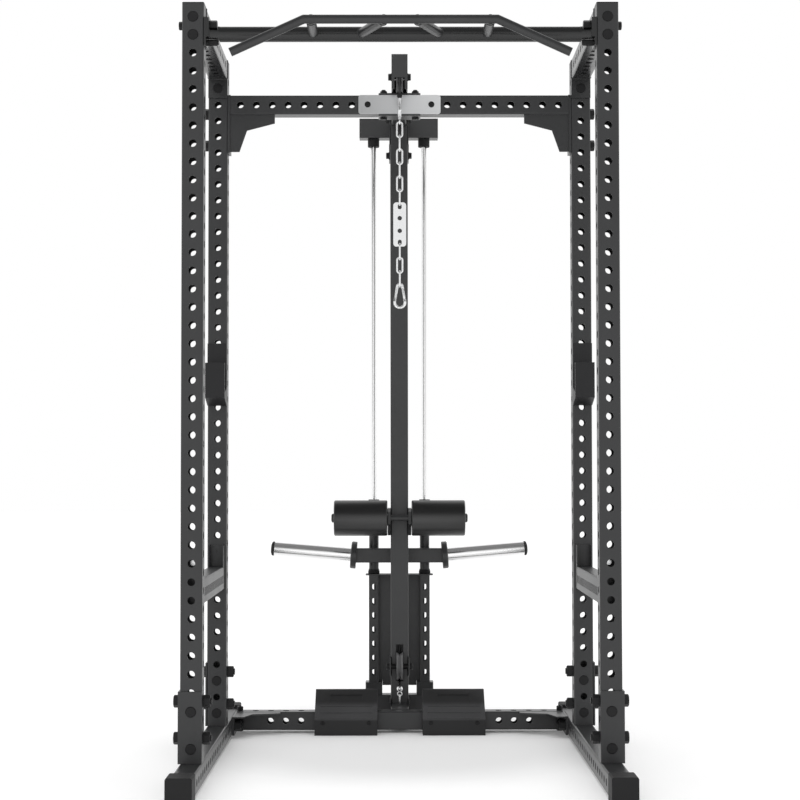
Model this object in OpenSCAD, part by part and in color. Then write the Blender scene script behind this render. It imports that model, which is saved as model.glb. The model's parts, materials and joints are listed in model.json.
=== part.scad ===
// Power cage with a plate-loaded pulldown and row tower.
// Millimetres. Z is up, +X is the right-hand side seen from the front, -Y is the front.
// The origin is on the floor, in the middle of the footprint.

/* [Cage] */
// Width over the uprights
cage_w = 1200; // [1000:10:1400]
// Spacing of the front and rear uprights
cage_d = 710; // [600:10:850]
// Length of an upright
upright_l = 2080; // [1980:10:2280]
// Reach of the floor rails in front of the uprights
toe_l = 284; // [240:1:300]
// Length of a floor rail over its caps
rail_l = 1490; // [1400:10:1600]
// Gap between the floor and the floor tubes
floor_gap = 10; // [6:1:16]

/* [Square tube] */
// Side of the square tube
tube = 60; // [56:1:64]
// Wall of the square tube
tube_wall = 3; // [2:0.5:4]
// Outside corner radius of the square tube
tube_r = 5; // [4.5:0.5:8]
// Diameter of the attachment holes
hole_d = 21; // [20.5:0.5:24]
// Pitch of the attachment holes
hole_pitch = 50; // [48:1:54]
// First face hole above the foot of an upright
hole_start = 40; // [36:1:44]

/* [Plates and bolts] */
// Thickness of the foot brackets
bracket_t = 5; // [3:0.5:8]
// Thickness of the welded end flanges
flange_t = 7; // [5:0.5:8]
// Length of a corner gusset along the crossmember
gusset_w = 141; // [110:1:170]
// Length of a corner gusset along the upright
gusset_h = 118; // [100:1:130]
// Diameter of the frame bolts
bolt_d = 20; // [16:1:20]
// Width across the flats of the frame bolt heads and nuts
bolt_af = 30; // [27:1:32]
// Height of a frame bolt head
bolt_head = 12.5; // [10:0.5:14]
// Height of a frame nut
bolt_nut = 18; // [14:0.5:20]

/* [Pull-up bars] */
// Diameter of the straight pull-up bar
bar_d = 42; // [32:1:44]
// Diameter of the bent front bar
grip_d = 24; // [22:1:30]
// Diameter of the parallel grip stubs
stub_d = 27; // [24:1:30]
// Distance of the bent bar in front of the straight bar
grip_reach = 168; // [120:1:200]
// Half length of the straight middle of the bent bar
grip_half = 259; // [250:1:300]
// Sideways length of a bent end
grip_end_x = 196; // [150:1:210]
// Drop of a bent end
grip_end_z = 89; // [60:1:110]

/* [Tower] */
// Front face of the cage to the middle of the tower's rear foot
tower_d = 1500; // [1480:10:1600]
// Distance between the mast and the guide rods
mast_gap = 225; // [215:1:240]
// Front face of the cage to the middle of the floor crossmember
cross_d = 1063; // [1055:1:1075]
// Length of the tower's rear foot
rear_foot_l = 500; // [400:10:600]
// Width of the boom and of the front pulley housing
boom_w = 50; // [46:1:56]
// Half spacing of the guide rods
rod_x = 90; // [85:1:100]
// Diameter of the guide rods
rod_d = 20; // [18:1:22]
// Width of a guide channel
channel_w = 35; // [32:1:38]
// Top of the guide channels above the floor tubes
channel_h = 420; // [380:10:460]
// Width of the crosshead
crosshead_w = 280; // [260:1:300]
// Height of the crosshead
crosshead_h = 70; // [60:1:80]

/* [Pulleys and cable] */
// Diameter of the cable
cable_d = 6; // [5:0.5:6]
// Radius of the cable's path round a pulley
pulley_r = 44; // [42:0.5:46]
// Width of a pulley
pulley_w = 22; // [18:1:24]
// Diameter of the pulley axles
axle_d = 12; // [10:1:14]
// Wire of the chain links
link_wire = 5.2; // [4.5:0.1:6]
// Length of a chain link
link_l = 53; // [46:1:56]
// Width of a chain link
link_w = 22; // [20:1:24]
// Number of chain links
link_n = 12; // [6:1:12]

/* [Carriage] */
// Length of the carriage sleeves
sleeve_l = 251; // [220:1:280]
// Outside diameter of the carriage sleeves
sleeve_d = 34; // [32:1:38]
// Length of the carriage crossbar
crossbar_l = 296; // [280:1:310]
// Side of the carriage crossbar
crossbar_s = 50; // [45:1:55]
// Diameter of the plate horns
horn_d = 50; // [48:0.5:50]
// Length of a plate horn
horn_l = 293; // [200:1:320]
// Upward slope of a plate horn
horn_tilt = 4.7; // [2:0.1:6]

/* [Knee rollers and foot plates] */
// Diameter of a knee roller
roller_d = 120; // [100:1:124]
// Length of a knee roller
roller_l = 180; // [150:1:200]
// Height of the knee rollers
roller_z = 700; // [660:5:900]
// Distance of the knee rollers in front of the mast
roller_y = 88; // [84:1:110]
// Width of a foot plate
foot_w = 204; // [180:1:220]
// Top of a foot plate above the floor
foot_h = 136; // [120:1:150]

/* [Bar cups and safety bars] */
// Hole row that carries the bar cups
cup_row = 22; // [16:1:30]
// Hole row that carries the safety bars
safety_row = 10; // [8:1:14]
// Depth of a bar cup in front of the upright
cup_d = 80; // [70:1:90]
// Width of a safety bar
safety_w = 48; // [44:1:50]
// Height of a safety bar
safety_h = 70; // [60:1:74]

/* [Hidden] */
$fn = 48;
coat = [0.075, 0.077, 0.08];
rubber = [0.04, 0.04, 0.042];
zinc = [0.8, 0.81, 0.82];
chrome = [0.86, 0.87, 0.88];
nylon = [0.05, 0.05, 0.055];

// Derived places across the cage
post_x = (cage_w - tube) / 2;
inner_x = cage_w / 2 - tube;
gap = 0.3;
slack = 0.05;
washer_t = 2.5;

// Derived places from front to back
cap_wall = 6;
cap_side = 5;
cap_l = 80;
cap_w = tube + 2 * cap_side;
overall_d = toe_l + tower_d + cap_w / 2;
front_y = toe_l - overall_d / 2;
front_c = front_y + tube / 2;
rear_c = front_c + cage_d;
rear_y = rear_c - tube / 2;
rail_y = front_y - toe_l;
cross_row = 20;
floor_cross_y = front_y + cross_d;
foot_y = front_y + tower_d;
mast_y = foot_y - mast_gap;
mast_front = mast_y - tube / 2;

// Derived heights
base_top = floor_gap + tube;
post_top = base_top + upright_l;
face_n = floor((upright_l - 2 * hole_start) / hole_pitch) + 1;
side_n = face_n - 1;
cross_z = row_z(face_n - 3);
clamp_t = 6;
boom_z = cross_z + tube / 2 + clamp_t;
bar_z = post_top - 83;
pull_bolt_z = bar_z + 23.5;
pull_nut_z = bar_z - 23.5;
head_z = boom_z;

function row_z(k) = base_top + hole_start + k * hole_pitch;
function side_z(k) = row_z(k) + hole_pitch / 2;

// Cable path
top_pulley_z = boom_z + 47;
front_pulley_y = front_y + 692;
lat_y = front_pulley_y - pulley_r;
row_pulley_y = mast_y - pulley_r;
mast_pulley_y = mast_y + pulley_r;
row_fall_y = mast_pulley_y + pulley_r;
rear_pulley_y = row_fall_y + pulley_r;
lat_fall_y = rear_pulley_y + pulley_r;
mast_pulley_z = cross_z - 55;
row_pulley_z = base_top + 125;
rim = 4;
pulley_rim = pulley_r + rim;
ball_d = 17;
ball_z = boom_z - 21;
shaft_l = 72;
eye_z = ball_z - ball_d / 2 - shaft_l;
link_pitch = link_l - 2 * link_wire - gap;
chain_top = eye_z - 4 + gap + link_wire;
row_turn = 30;
row_end_l = 65;
row_leave_y = row_pulley_y + pulley_r * sin(row_turn);
row_leave_z = row_pulley_z - pulley_r * cos(row_turn);
row_end_y = row_leave_y - row_end_l * cos(row_turn);
row_end_z = row_leave_z - row_end_l * sin(row_turn);

// Tag in the chain, in the place of three links
tag_first = 6;
tag_links = 3;
tag_t = 4;

// Snap hook
hook_l = 80;
hook_wire = 8;
hook_r = 16;
hook_top_r = 8;
hook_top = chain_top - link_l - (link_n - 1) * link_pitch + link_wire + gap + hook_wire;
hook_high = hook_top - hook_top_r - hook_wire / 2;
hook_low = hook_top - hook_l + hook_r + hook_wire / 2;
hook_turn = link_n % 2 == 0 ? 0 : 90;
gate_high = 0.15;
gate_low = 0.85;

// Boom and crosshead
boom_h = 50;
cheek_t = 4;
crosshead_t = 60;
housing_l = 105;
housing_y = front_pulley_y - 52;
housing_top = top_pulley_z + 61;
boom_start = housing_y + housing_l;
boom_end = foot_y - crosshead_t / 2;

// Carriage
socket_h = 44;
socket_wall = 12;
rod_foot_z = base_top + channel_h;
rod_plate_t = 4;
bumper_low = 12;
sleeve_z = rod_foot_z + rod_plate_t + bumper_low + gap;
carriage_z = sleeve_z + 55;
crossbar_y = foot_y - (sleeve_d + crossbar_s) / 2 + 2;
loop_z = carriage_z + crossbar_s / 2 + 64;

// Knee rollers and foot plates
knee_t = 10;
knee_bolt_y = mast_y + 16;
knee_bolt_z = 20;
roller_inner = tube / 2 + knee_t + 1;
foot_inner = 74;
foot_mid_x = foot_inner + foot_w / 2;
foot_gap = 55;
foot_front = floor_cross_y - tube / 2 - foot_gap;
foot_screw_x = 75.5;
foot_screw_z = 41;

// Rounded rectangle centred on the origin
module round_rect(w, h, r) {
  square([w - 2 * r, h], center = true);
  square([w, h - 2 * r], center = true);
  for (x = [-1, 1], y = [-1, 1])
    translate([x * (w / 2 - r), y * (h / 2 - r)]) circle(r, $fn = 24);
}

// Section of a rectangular tube
module tube_section(w = tube, h = tube, t = tube_wall, r = tube_r) {
  difference() {
    round_rect(w, h, r);
    round_rect(w - 2 * t, h - 2 * t, r - t);
  }
}

// Turn children that run along Z so that they run along X or Y
module along_x() { rotate([0, 90, 0]) children(); }
module along_y() { rotate([-90, 0, 0]) children(); }

module both_sides() {
  children();
  mirror([1, 0, 0]) children();
}

// Plain round bar between two points
module rod_between(a, b, r) {
  v = b - a;
  length = norm(v);
  translate(a) rotate([0, acos(v[2] / length), atan2(v[1], v[0])]) cylinder(h = length, r = r);
}

// Holes through a square tube
module hole_along_x(d = hole_d) { along_x() cylinder(h = tube + 2, d = d, center = true); }
module hole_along_y(d = hole_d) { along_y() cylinder(h = tube + 2, d = d, center = true); }
module hole_along_z(d = hole_d) { cylinder(h = tube + 2, d = d, center = true); }

// Hexagon with chamfered outer corners, from z = 0 up
module hex(af, h) {
  intersection() {
    cylinder(h = h, d = af / cos(30), $fn = 6);
    union() {
      cylinder(h = h - af * 0.07, d = af * 1.16);
      translate([0, 0, h - af * 0.07]) cylinder(h = af * 0.07, d1 = af * 1.16, d2 = af * 0.95);
    }
  }
}

// Hex bolt with no nut along Z: head and washer below z = 0, its end flush with z = grip
module tapped_bolt(grip, d = bolt_d, af = bolt_af, head = bolt_head) {
  translate([0, 0, -washer_t]) mirror([0, 0, 1]) hex(af, head);
  translate([0, 0, -washer_t]) cylinder(h = washer_t, d = af * 1.12);
  translate([0, 0, -washer_t]) cylinder(h = grip + washer_t, d = d - 1);
}

// Flat-headed bolt along Z: low round head below z = 0, washer and nut above z = grip
module flat_bolt(grip) {
  head_h = 3;
  translate([0, 0, -head_h]) cylinder(h = head_h, d1 = bolt_af - 4, d2 = bolt_af);
  translate([0, 0, -1]) cylinder(h = grip + washer_t + bolt_nut + 4, d = bolt_d - 1);
  translate([0, 0, grip]) cylinder(h = washer_t, d = bolt_af * 1.12);
  translate([0, 0, grip + washer_t]) hex(bolt_af, bolt_nut);
}

// Hex bolt along Z: head below z = 0, nut above z = grip, washers under both
module hex_bolt(grip, d = bolt_d, af = bolt_af, head = bolt_head, nut = bolt_nut) {
  washer_d = af * 1.12;
  thread = 3.5;
  translate([0, 0, -washer_t]) mirror([0, 0, 1]) hex(af, head);
  translate([0, 0, -washer_t]) cylinder(h = washer_t, d = washer_d);
  translate([0, 0, -washer_t]) cylinder(h = grip + 2 * washer_t + nut + thread, d = d - 1);
  translate([0, 0, grip]) cylinder(h = washer_t, d = washer_d);
  translate([0, 0, grip + washer_t]) hex(af, nut);
}

// Round-headed screw along Z: dome above z = 0, shank below
module dome_screw(d, head_d, head_h, shank) {
  socket = d * 0.5;
  difference() {
    union() {
      cylinder(h = head_h * 0.4, d = head_d);
      translate([0, 0, head_h * 0.4]) cylinder(h = head_h * 0.6, d1 = head_d, d2 = head_d * 0.6);
    }
    translate([0, 0, head_h * 0.4]) cylinder(h = head_h, d = socket * 2 / sqrt(3), $fn = 6);
  }
  translate([0, 0, -shank]) cylinder(h = shank, d = d);
}

// Floor rails with side and top holes
module base_rails() {
  tube_l = rail_l - 2 * cap_wall;
  first = floor((front_c - rail_y - cap_l) / hole_pitch);
  last = floor((rail_y + rail_l - cap_l - front_c) / hole_pitch);
  color(coat) both_sides() difference() {
    translate([post_x, rail_y + cap_wall, floor_gap + tube / 2]) along_y()
      linear_extrude(tube_l) tube_section();
    for (k = [-first : last])
      translate([post_x, front_c + k * hole_pitch, floor_gap + tube / 2]) hole_along_x();
  }
}

// Rubber boot round one end of a floor tube, its closed end at y = 0
module boot(length) {
  boot_top = base_top + 10;
  difference() {
    translate([0, 0, boot_top / 2]) along_y() linear_extrude(length) round_rect(cap_w, boot_top, 6);
    translate([0, cap_wall, floor_gap + tube / 2]) along_y()
      linear_extrude(length) round_rect(tube, tube, tube_r);
  }
}

// Plug in the open top of an upright
module post_plug() {
  plug_depth = 20;
  plug_w = tube - 2 * tube_wall - 2 * gap;
  translate([0, 0, -plug_t]) linear_extrude(plug_t) round_rect(tube, tube, tube_r);
  translate([0, 0, -plug_t - plug_depth]) linear_extrude(plug_depth)
    tube_section(plug_w, plug_w, 3, 3.5);
}
plug_t = 3;

module end_caps() {
  color(rubber) {
    both_sides() {
      translate([post_x, rail_y, 0]) boot(cap_l);
      translate([post_x, rail_y + rail_l, 0]) mirror([0, 1, 0]) boot(cap_l);
      translate([rear_foot_l / 2, foot_y, 0]) rotate(90) boot(cap_l * 0.7);
      for (y = [front_c, rear_c]) translate([post_x, y, post_top]) post_plug();
    }
  }
}

// One upright with its face holes and, at the stated heights, its side holes
module upright(x, y, side_heights) {
  difference() {
    translate([x, y, base_top]) linear_extrude(upright_l - plug_t) tube_section();
    for (k = [0 : face_n - 1]) translate([x, y, row_z(k)]) hole_along_y();
    for (z = side_heights) translate([x, y, z]) hole_along_x();
  }
}

rear_side_holes = [for (k = [0 : side_n - 1]) side_z(k)];
front_side_holes = concat([for (k = [0 : side_n - 3]) side_z(k)], [pull_nut_z, pull_bolt_z]);
module upright_front_left() { color(coat) upright(-post_x, front_c, front_side_holes); }
module upright_front_right() { color(coat) upright(post_x, front_c, front_side_holes); }
module uprights_rear() { color(coat) both_sides() upright(post_x, rear_c, rear_side_holes); }

// Angle plate that ties an upright to its rail; side = -1 in front, 1 behind
bracket_h = hole_start + 3 * hole_pitch + 5;
module foot_bracket(y, side) {
  face_y = y + side * tube / 2;
  difference() {
    translate([0, 0, base_top]) union() {
      translate([post_x - tube / 2, min(face_y, face_y + side * bracket_t), 0])
        cube([tube, bracket_t, bracket_h]);
      translate([post_x + tube / 2, y - tube / 2 - (side < 0 ? bracket_t : 0), 0])
        cube([bracket_t, tube + bracket_t, bracket_h]);
    }
    for (k = [0, 2]) translate([post_x, face_y, row_z(k)]) hole_along_y();
    for (k = [0, 2]) translate([post_x + tube / 2, y, side_z(k)]) hole_along_x();
  }
}

module foot_brackets() {
  color(coat) both_sides() {
    foot_bracket(front_c, -1);
    foot_bracket(rear_c, 1);
  }
}

// Frame bolts: feet, top rails and both crossmembers
module frame_bolts() {
  grip_foot = tube + bracket_t;
  outer_x = post_x + tube / 2 + bracket_t;
  color(coat) both_sides() {
    for (k = [0, 2]) {
      for (y = [front_c, rear_c])
        translate([outer_x, y, side_z(k)]) rotate([0, -90, 0]) hex_bolt(grip_foot);
      translate([post_x, front_y - bracket_t, row_z(k)]) along_y() flat_bolt(grip_foot);
      translate([post_x, rear_y, row_z(k)]) along_y() flat_bolt(grip_foot);
    }
    for (k = [face_n - 2, face_n - 1]) {
      translate([post_x, front_y, row_z(k)]) along_y() flat_bolt(tube + flange_t);
      translate([post_x, rear_y - flange_t, row_z(k)]) along_y() flat_bolt(tube + flange_t);
    }
    for (k = [side_n - 3, side_n - 5])
      translate([post_x + tube / 2, rear_c, side_z(k)]) rotate([0, -90, 0])
        tapped_bolt(tube + flange_t);
    for (k = [cross_row - 1, cross_row - 2])
      translate([post_x + tube / 2, front_c + k * hole_pitch, floor_gap + tube / 2])
        rotate([0, -90, 0]) hex_bolt(tube + flange_t);
  }
}

// Rails that join the tops of the uprights
module top_rails() {
  span = cage_d - tube;
  color(coat) both_sides() {
    difference() {
      translate([post_x, front_y + tube + flange_t, post_top - tube / 2]) along_y()
        linear_extrude(span - 2 * flange_t) tube_section();
      for (k = [2 : floor(span / hole_pitch) - 1]) {
        translate([post_x, front_c + k * hole_pitch, post_top - tube / 2]) hole_along_x();
        translate([post_x, front_c + k * hole_pitch, post_top - tube / 2]) hole_along_z();
      }
    }
  }
}

// Plates at the ends of the top rails
module top_flanges() {
  drop = post_top - row_z(face_n - 2) + 30;
  color(coat) both_sides() for (y = [front_y + tube, rear_y - flange_t]) difference() {
    translate([post_x - tube / 2, y, post_top - drop]) cube([tube, flange_t, drop]);
    for (k = [face_n - 2, face_n - 1]) translate([post_x, y, row_z(k)]) hole_along_y();
  }
}

gusset_inset = tube_r + 1;
// Corner gusset plate, its square corner at the origin and its arms along -X and -Y
module gusset() {
  nose = 28;
  linear_extrude(bracket_t) polygon([
    [0, 0], [-gusset_w, 0], [-gusset_w, -nose], [-gusset_w * 0.38, -gusset_h * 0.43],
    [-nose - 2, -gusset_h], [0, -gusset_h]
  ]);
}

// Crossmember between the rear uprights
module rear_crossmember() {
  half = inner_x - flange_t;
  flange_low = side_z(side_n - 5) - 27;
  hole_rows = floor((half - 20) / hole_pitch);
  color(coat) {
    difference() {
      translate([-half, rear_c, cross_z]) along_x() linear_extrude(2 * half) tube_section();
      for (k = [-hole_rows : hole_rows]) translate([k * hole_pitch, rear_c, cross_z]) hole_along_y();
      for (x = [-1, 1]) translate([x * hole_pitch, rear_c, cross_z]) hole_along_z();
    }
    both_sides() {
      difference() {
        translate([half, rear_y, flange_low]) cube([flange_t, tube, cross_z + tube / 2 - flange_low]);
        for (k = [side_n - 3, side_n - 5]) translate([inner_x, rear_c, side_z(k)]) hole_along_x();
      }
      translate([half, rear_y + gusset_inset + bracket_t, cross_z - tube / 2]) rotate([90, 0, 0])
        gusset();
    }
  }
}

// Blank silver plate on the front of the crossmember
plate_l = 258;
plate_t = 3;
plate_screw_x = 2 * hole_pitch;
module name_plate() {
  screw_d = 8.4;
  color([0.72, 0.73, 0.74]) difference() {
    translate([0, rear_y, cross_z]) rotate([90, 0, 0]) linear_extrude(plate_t)
      round_rect(plate_l, tube, 8);
    for (x = [-1, 1]) translate([x * plate_screw_x, rear_y, cross_z]) along_y()
      cylinder(h = 4 * plate_t, d = screw_d, center = true);
  }
}

// Round-headed screws of the silver plate and of the foot plates
module button_screws() {
  color(coat) both_sides() {
    translate([plate_screw_x, rear_y - plate_t, cross_z]) rotate([90, 0, 0])
      dome_screw(8, 19, 5, plate_t + tube_wall);
    for (side = [-1, 1])
      translate([foot_mid_x + side * foot_screw_x, foot_front, foot_screw_z])
        rotate([90, 0, 0]) dome_screw(8, 14, 4, foot_t + 14);
  }
}

// Straight bar with cone ends, notched for the nuts beside them, and its end plates
end_plate_t = 8;
pull_plate_t = 6;
pull_nut_af = 27;
long_nut_af = 15;
end_plate_x = inner_x - pull_plate_t;
module straight_pull_up_bar() {
  cone_l = 30;
  half = end_plate_x - end_plate_t;
  plate_w = tube + 4;
  plate_low = bar_z - 13.5;
  notch_high = pull_bolt_z - pull_nut_af / sqrt(3) - 1;
  notch_low = pull_nut_z + long_nut_af / sqrt(3) + 1;
  color(coat) {
    difference() {
      union() {
        translate([-half, front_c, bar_z]) along_x() cylinder(h = 2 * half, d = bar_d);
        both_sides() translate([half - cone_l, front_c, bar_z]) along_x()
          cylinder(h = cone_l, d1 = bar_d, d2 = bar_d + 8);
      }
      both_sides() {
        translate([half - 23, front_c - plate_w / 2, notch_high]) cube([24, plate_w, bar_d]);
        translate([half - 27, front_c - plate_w / 2, notch_low - bar_d]) cube([28, plate_w, bar_d]);
      }
    }
    both_sides() difference() {
      translate([half, front_c - plate_w / 2, plate_low]) cube([end_plate_t, plate_w, 54]);
      translate([half, front_c, pull_bolt_z]) hole_along_x(17);
    }
  }
}

// Bent front bar with its four welded grip stubs
module multi_grip_bar() {
  y = front_c - grip_reach;
  bar_r = bar_d / 2;
  r = grip_d / 2;
  end = [grip_half + grip_end_x, y, bar_z - grip_end_z];
  straight_stub = 240;
  angled_stub = [44, 108];
  back_y = front_c - bar_r * 0.5;
  color(coat) {
    translate([-grip_half, y, bar_z]) along_x() cylinder(h = 2 * grip_half, r = r);
    both_sides() {
      rod_between([grip_half, y, bar_z], end, r);
      translate([grip_half, y, bar_z]) sphere(r = r + slack);
      for (stub = [[straight_stub, straight_stub], angled_stub]) difference() {
        rod_between([stub[0], y, bar_z], [stub[1], back_y, bar_z], stub_d / 2);
        translate([stub[1] - stub_d * 2, front_c, bar_z]) along_x()
          cylinder(h = 4 * stub_d, r = bar_r + slack);
      }
    }
  }
}

// Plates between the straight bar's end plates and the uprights
module pull_up_brackets() {
  low = pull_nut_z - 12;
  high = pull_bolt_z + 18;
  color(coat) both_sides() difference() {
    translate([end_plate_x, front_c - tube / 2 - 2, low])
      cube([pull_plate_t, tube + 4, high - low]);
    translate([inner_x, front_c, pull_bolt_z]) hole_along_x(17);
    translate([inner_x, front_c, pull_nut_z]) hole_along_x(13);
  }
}

// Small bolts: pull-up bar, boom clamp, bracket of the knee rollers and mast head
head_t = 3;
head_bolt_z = boom_z + 25;
cross_bolt_x = 527;
module small_bolts() {
  long_nut = 27;
  color(coat) {
    both_sides() {
      translate([post_x + tube / 2, front_c, pull_bolt_z]) rotate([0, -90, 0]) {
        tapped_bolt(tube + pull_plate_t + end_plate_t, 16, 21, 9);
        translate([0, 0, tube + pull_plate_t + end_plate_t]) {
          cylinder(h = washer_t, d = 30);
          translate([0, 0, washer_t]) hex(pull_nut_af, 18);
        }
      }
      translate([inner_x + tube_wall, front_c, pull_nut_z]) rotate([0, -90, 0]) {
        cylinder(h = tube_wall + pull_plate_t + washer_t + long_nut + 3, d = 12);
        translate([0, 0, tube_wall + pull_plate_t]) cylinder(h = washer_t, d = 17.5);
        translate([0, 0, tube_wall + pull_plate_t + washer_t]) hex(long_nut_af, long_nut);
      }
      translate([hole_pitch, rear_c, cross_z - tube / 2 - clamp_t])
        hex_bolt(tube + 2 * clamp_t, 14, 19, 4, 10);
    }
    for (side = [-1, 1])
      translate([tube / 2 + knee_t, knee_bolt_y, roller_z + side * knee_bolt_z]) rotate([0, -90, 0])
        hex_bolt(tube + 2 * knee_t, 10, 17, 7, 8);
    translate([tube / 2 + head_t, mast_y, head_bolt_z]) rotate([0, -90, 0])
      hex_bolt(tube + 2 * head_t, 12, 19, 7, 9);
    both_sides() translate([cross_bolt_x, floor_cross_y, floor_gap])
      hex_bolt(tube, 8, 18, 4, 12);
  }
}

// Floor crossmember that carries the tower, with end flanges and flat gussets
module floor_crossmember() {
  half = inner_x - flange_t;
  flange_l = tube + gusset_h;
  floor_gusset_lap = 2.6;
  z = floor_gap + tube / 2;
  color(coat) {
    difference() {
      translate([-half, floor_cross_y, z]) along_x() linear_extrude(2 * half) tube_section();
      for (x = [6.5 : 1 : 8.5]) both_sides()
        translate([x * hole_pitch, floor_cross_y, z]) hole_along_y();
      for (x = [6.5 : 1 : 9.5]) both_sides()
        translate([x * hole_pitch, floor_cross_y, z]) hole_along_z();
      both_sides() translate([cross_bolt_x, floor_cross_y, z]) hole_along_z(9);
    }
    both_sides() {
      difference() {
        translate([half, floor_cross_y + tube / 2 - flange_l, floor_gap])
          cube([flange_t, flange_l, tube]);
        for (k = [cross_row - 1, cross_row - 2])
          translate([inner_x, front_c + k * hole_pitch, z]) hole_along_x();
      }
      translate([half, floor_cross_y - tube / 2 + floor_gusset_lap, base_top - 1 - bracket_t]) gusset();
    }
  }
}

// Beam under the mast, rear foot and the mast's side gussets
module tower_base() {
  z = floor_gap + tube / 2;
  beam_start = floor_cross_y + tube / 2;
  beam_l = foot_y - tube / 2 - beam_start;
  foot_l = rear_foot_l - 2 * cap_wall;
  gusset_t = 4;
  color(coat) {
    translate([0, beam_start, z]) along_y() linear_extrude(beam_l) tube_section();
    translate([-foot_l / 2, foot_y, z]) along_x() linear_extrude(foot_l) tube_section();
    both_sides() translate([tube / 2, 0, 0]) rotate([90, 0, 90]) linear_extrude(gusset_t)
      polygon([
        [mast_front - 62, base_top - 30], [mast_front - 62, base_top + 8],
        [mast_front, base_top + 14], [mast_front + tube * 0.8, base_top + 14],
        [mast_front + tube * 0.8, base_top - 30]
      ]);
  }
}

// Column of the tower, slotted for its low and high pulleys
slot_w = pulley_w + 3;
module mast() {
  slot_low = row_pulley_z - 51;
  slot_high = row_pulley_z + 74;
  head_slot = pulley_rim + 8;
  color(coat) {
    difference() {
      translate([0, mast_y, base_top]) linear_extrude(boom_z - base_top) tube_section();
      translate([-slot_w / 2, mast_front - 1, slot_low])
        cube([slot_w, tube / 2, slot_high - slot_low]);
      translate([-slot_w / 2, mast_y, mast_pulley_z - head_slot])
        cube([slot_w, tube / 2 + 1, 2 * head_slot]);
      for (side = [-1, 1])
        translate([0, knee_bolt_y, roller_z + side * knee_bolt_z]) axle_hole(11);
    }
    both_sides() {
      difference() {
        union() {
          translate([tube / 2, mast_y - 14, mast_pulley_z - 24])
            cube([cheek_t, mast_pulley_y - mast_y + 38, 54]);
          translate([tube / 2, mast_front, mast_pulley_z + 26])
            cube([head_t, tube, head_bolt_z + 24 - mast_pulley_z - 26]);
        }
        translate([0, mast_pulley_y, mast_pulley_z]) axle_hole(axle_d);
        translate([0, mast_y, head_bolt_z]) axle_hole(13);
      }
      difference() {
        translate([tube / 2, row_pulley_y - 20, row_pulley_z - 32])
          cube([cheek_t, mast_y - row_pulley_y + 34, 64]);
        translate([0, row_pulley_y, row_pulley_z]) axle_hole(axle_d);
      }
    }
  }
}

// Hole along X through everything within the width of the tower
module axle_hole(d) { along_x() cylinder(h = 2 * tube, d = d, center = true); }

// Boom back to the crosshead, with the folded housing of the front pulley welded on
module top_boom() {
  slot_y = rear_pulley_y - pulley_rim - 6;
  window = top_pulley_z - 12;
  inside = boom_w - 2 * cheek_t;
  color(coat) {
    difference() {
      translate([-boom_w / 2, housing_y, boom_z]) cube([boom_w, housing_l, housing_top - boom_z]);
      translate([-inside / 2, housing_y + cheek_t, boom_z - 1])
        cube([inside, housing_l, housing_top - boom_z + 1 - cheek_t]);
      translate([-inside / 2 + 5, housing_y - 1, boom_z - 1])
        cube([inside - 10, cheek_t + 2, window - boom_z + 1]);
      translate([0, front_pulley_y, top_pulley_z]) axle_hole(axle_d);
    }
    difference() {
      translate([0, boom_start, boom_z + boom_h / 2]) along_y()
        linear_extrude(boom_end - boom_start) tube_section(boom_w, boom_h, tube_wall, tube_r);
      translate([-slot_w / 2, slot_y, boom_z - 1])
        cube([slot_w, lat_fall_y + 8 - slot_y, boom_h + 2]);
      translate([0, rear_pulley_y, top_pulley_z]) axle_hole(axle_d + 6);
      translate([0, mast_y, head_bolt_z]) axle_hole(13);
    }
    both_sides() difference() {
      translate([boom_w / 2, rear_pulley_y - 30, boom_z + 6])
        cube([cheek_t, 60, top_pulley_z - boom_z + 22]);
      translate([0, rear_pulley_y, top_pulley_z]) axle_hole(axle_d);
    }
  }
}

// Plates that clamp the boom to the crossmember
module boom_clamp() {
  plate_w = 132;
  plate_d = tube + 10;
  color(coat) for (z = [cross_z + tube / 2, cross_z - tube / 2 - clamp_t]) difference() {
    translate([0, rear_c, z]) linear_extrude(clamp_t) round_rect(plate_w, plate_d, 8);
    for (x = [-1, 1]) translate([x * hole_pitch, rear_c, z]) hole_along_z(15);
  }
}

// Box beam that holds the tops of the guide rods
module crosshead() {
  color(coat) difference() {
    translate([-crosshead_w / 2, foot_y, head_z + crosshead_h / 2]) along_x()
      linear_extrude(crosshead_w) rotate(90) tube_section(crosshead_t, crosshead_h, 4, 5);
    for (x = [-1, 1]) translate([x * rod_x, foot_y, head_z - 1])
      cylinder(h = crosshead_h / 2, d = rod_d);
  }
}

// Upright slot with round ends through a channel
module slot_along_y(w, h) {
  cube([w, tube + 2, h - w], center = true);
  for (z = [-1, 1]) translate([0, 0, z * (h - w) / 2]) hole_along_y(w);
}

// Perforated channels under the guide rods
channel_t = 2.5;
channel_d = 55;
module guide_channels() {
  slot_l = 23;
  first = 78;
  rows = floor((channel_h - first - slot_l) / hole_pitch);
  color(coat) both_sides() difference() {
    translate([rod_x, foot_y, base_top]) linear_extrude(channel_h)
      tube_section(channel_w, channel_d, channel_t, 4);
    for (k = [0 : rows]) translate([rod_x, foot_y, base_top + first + k * hole_pitch])
      slot_along_y(12, slot_l);
  }
}

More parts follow.
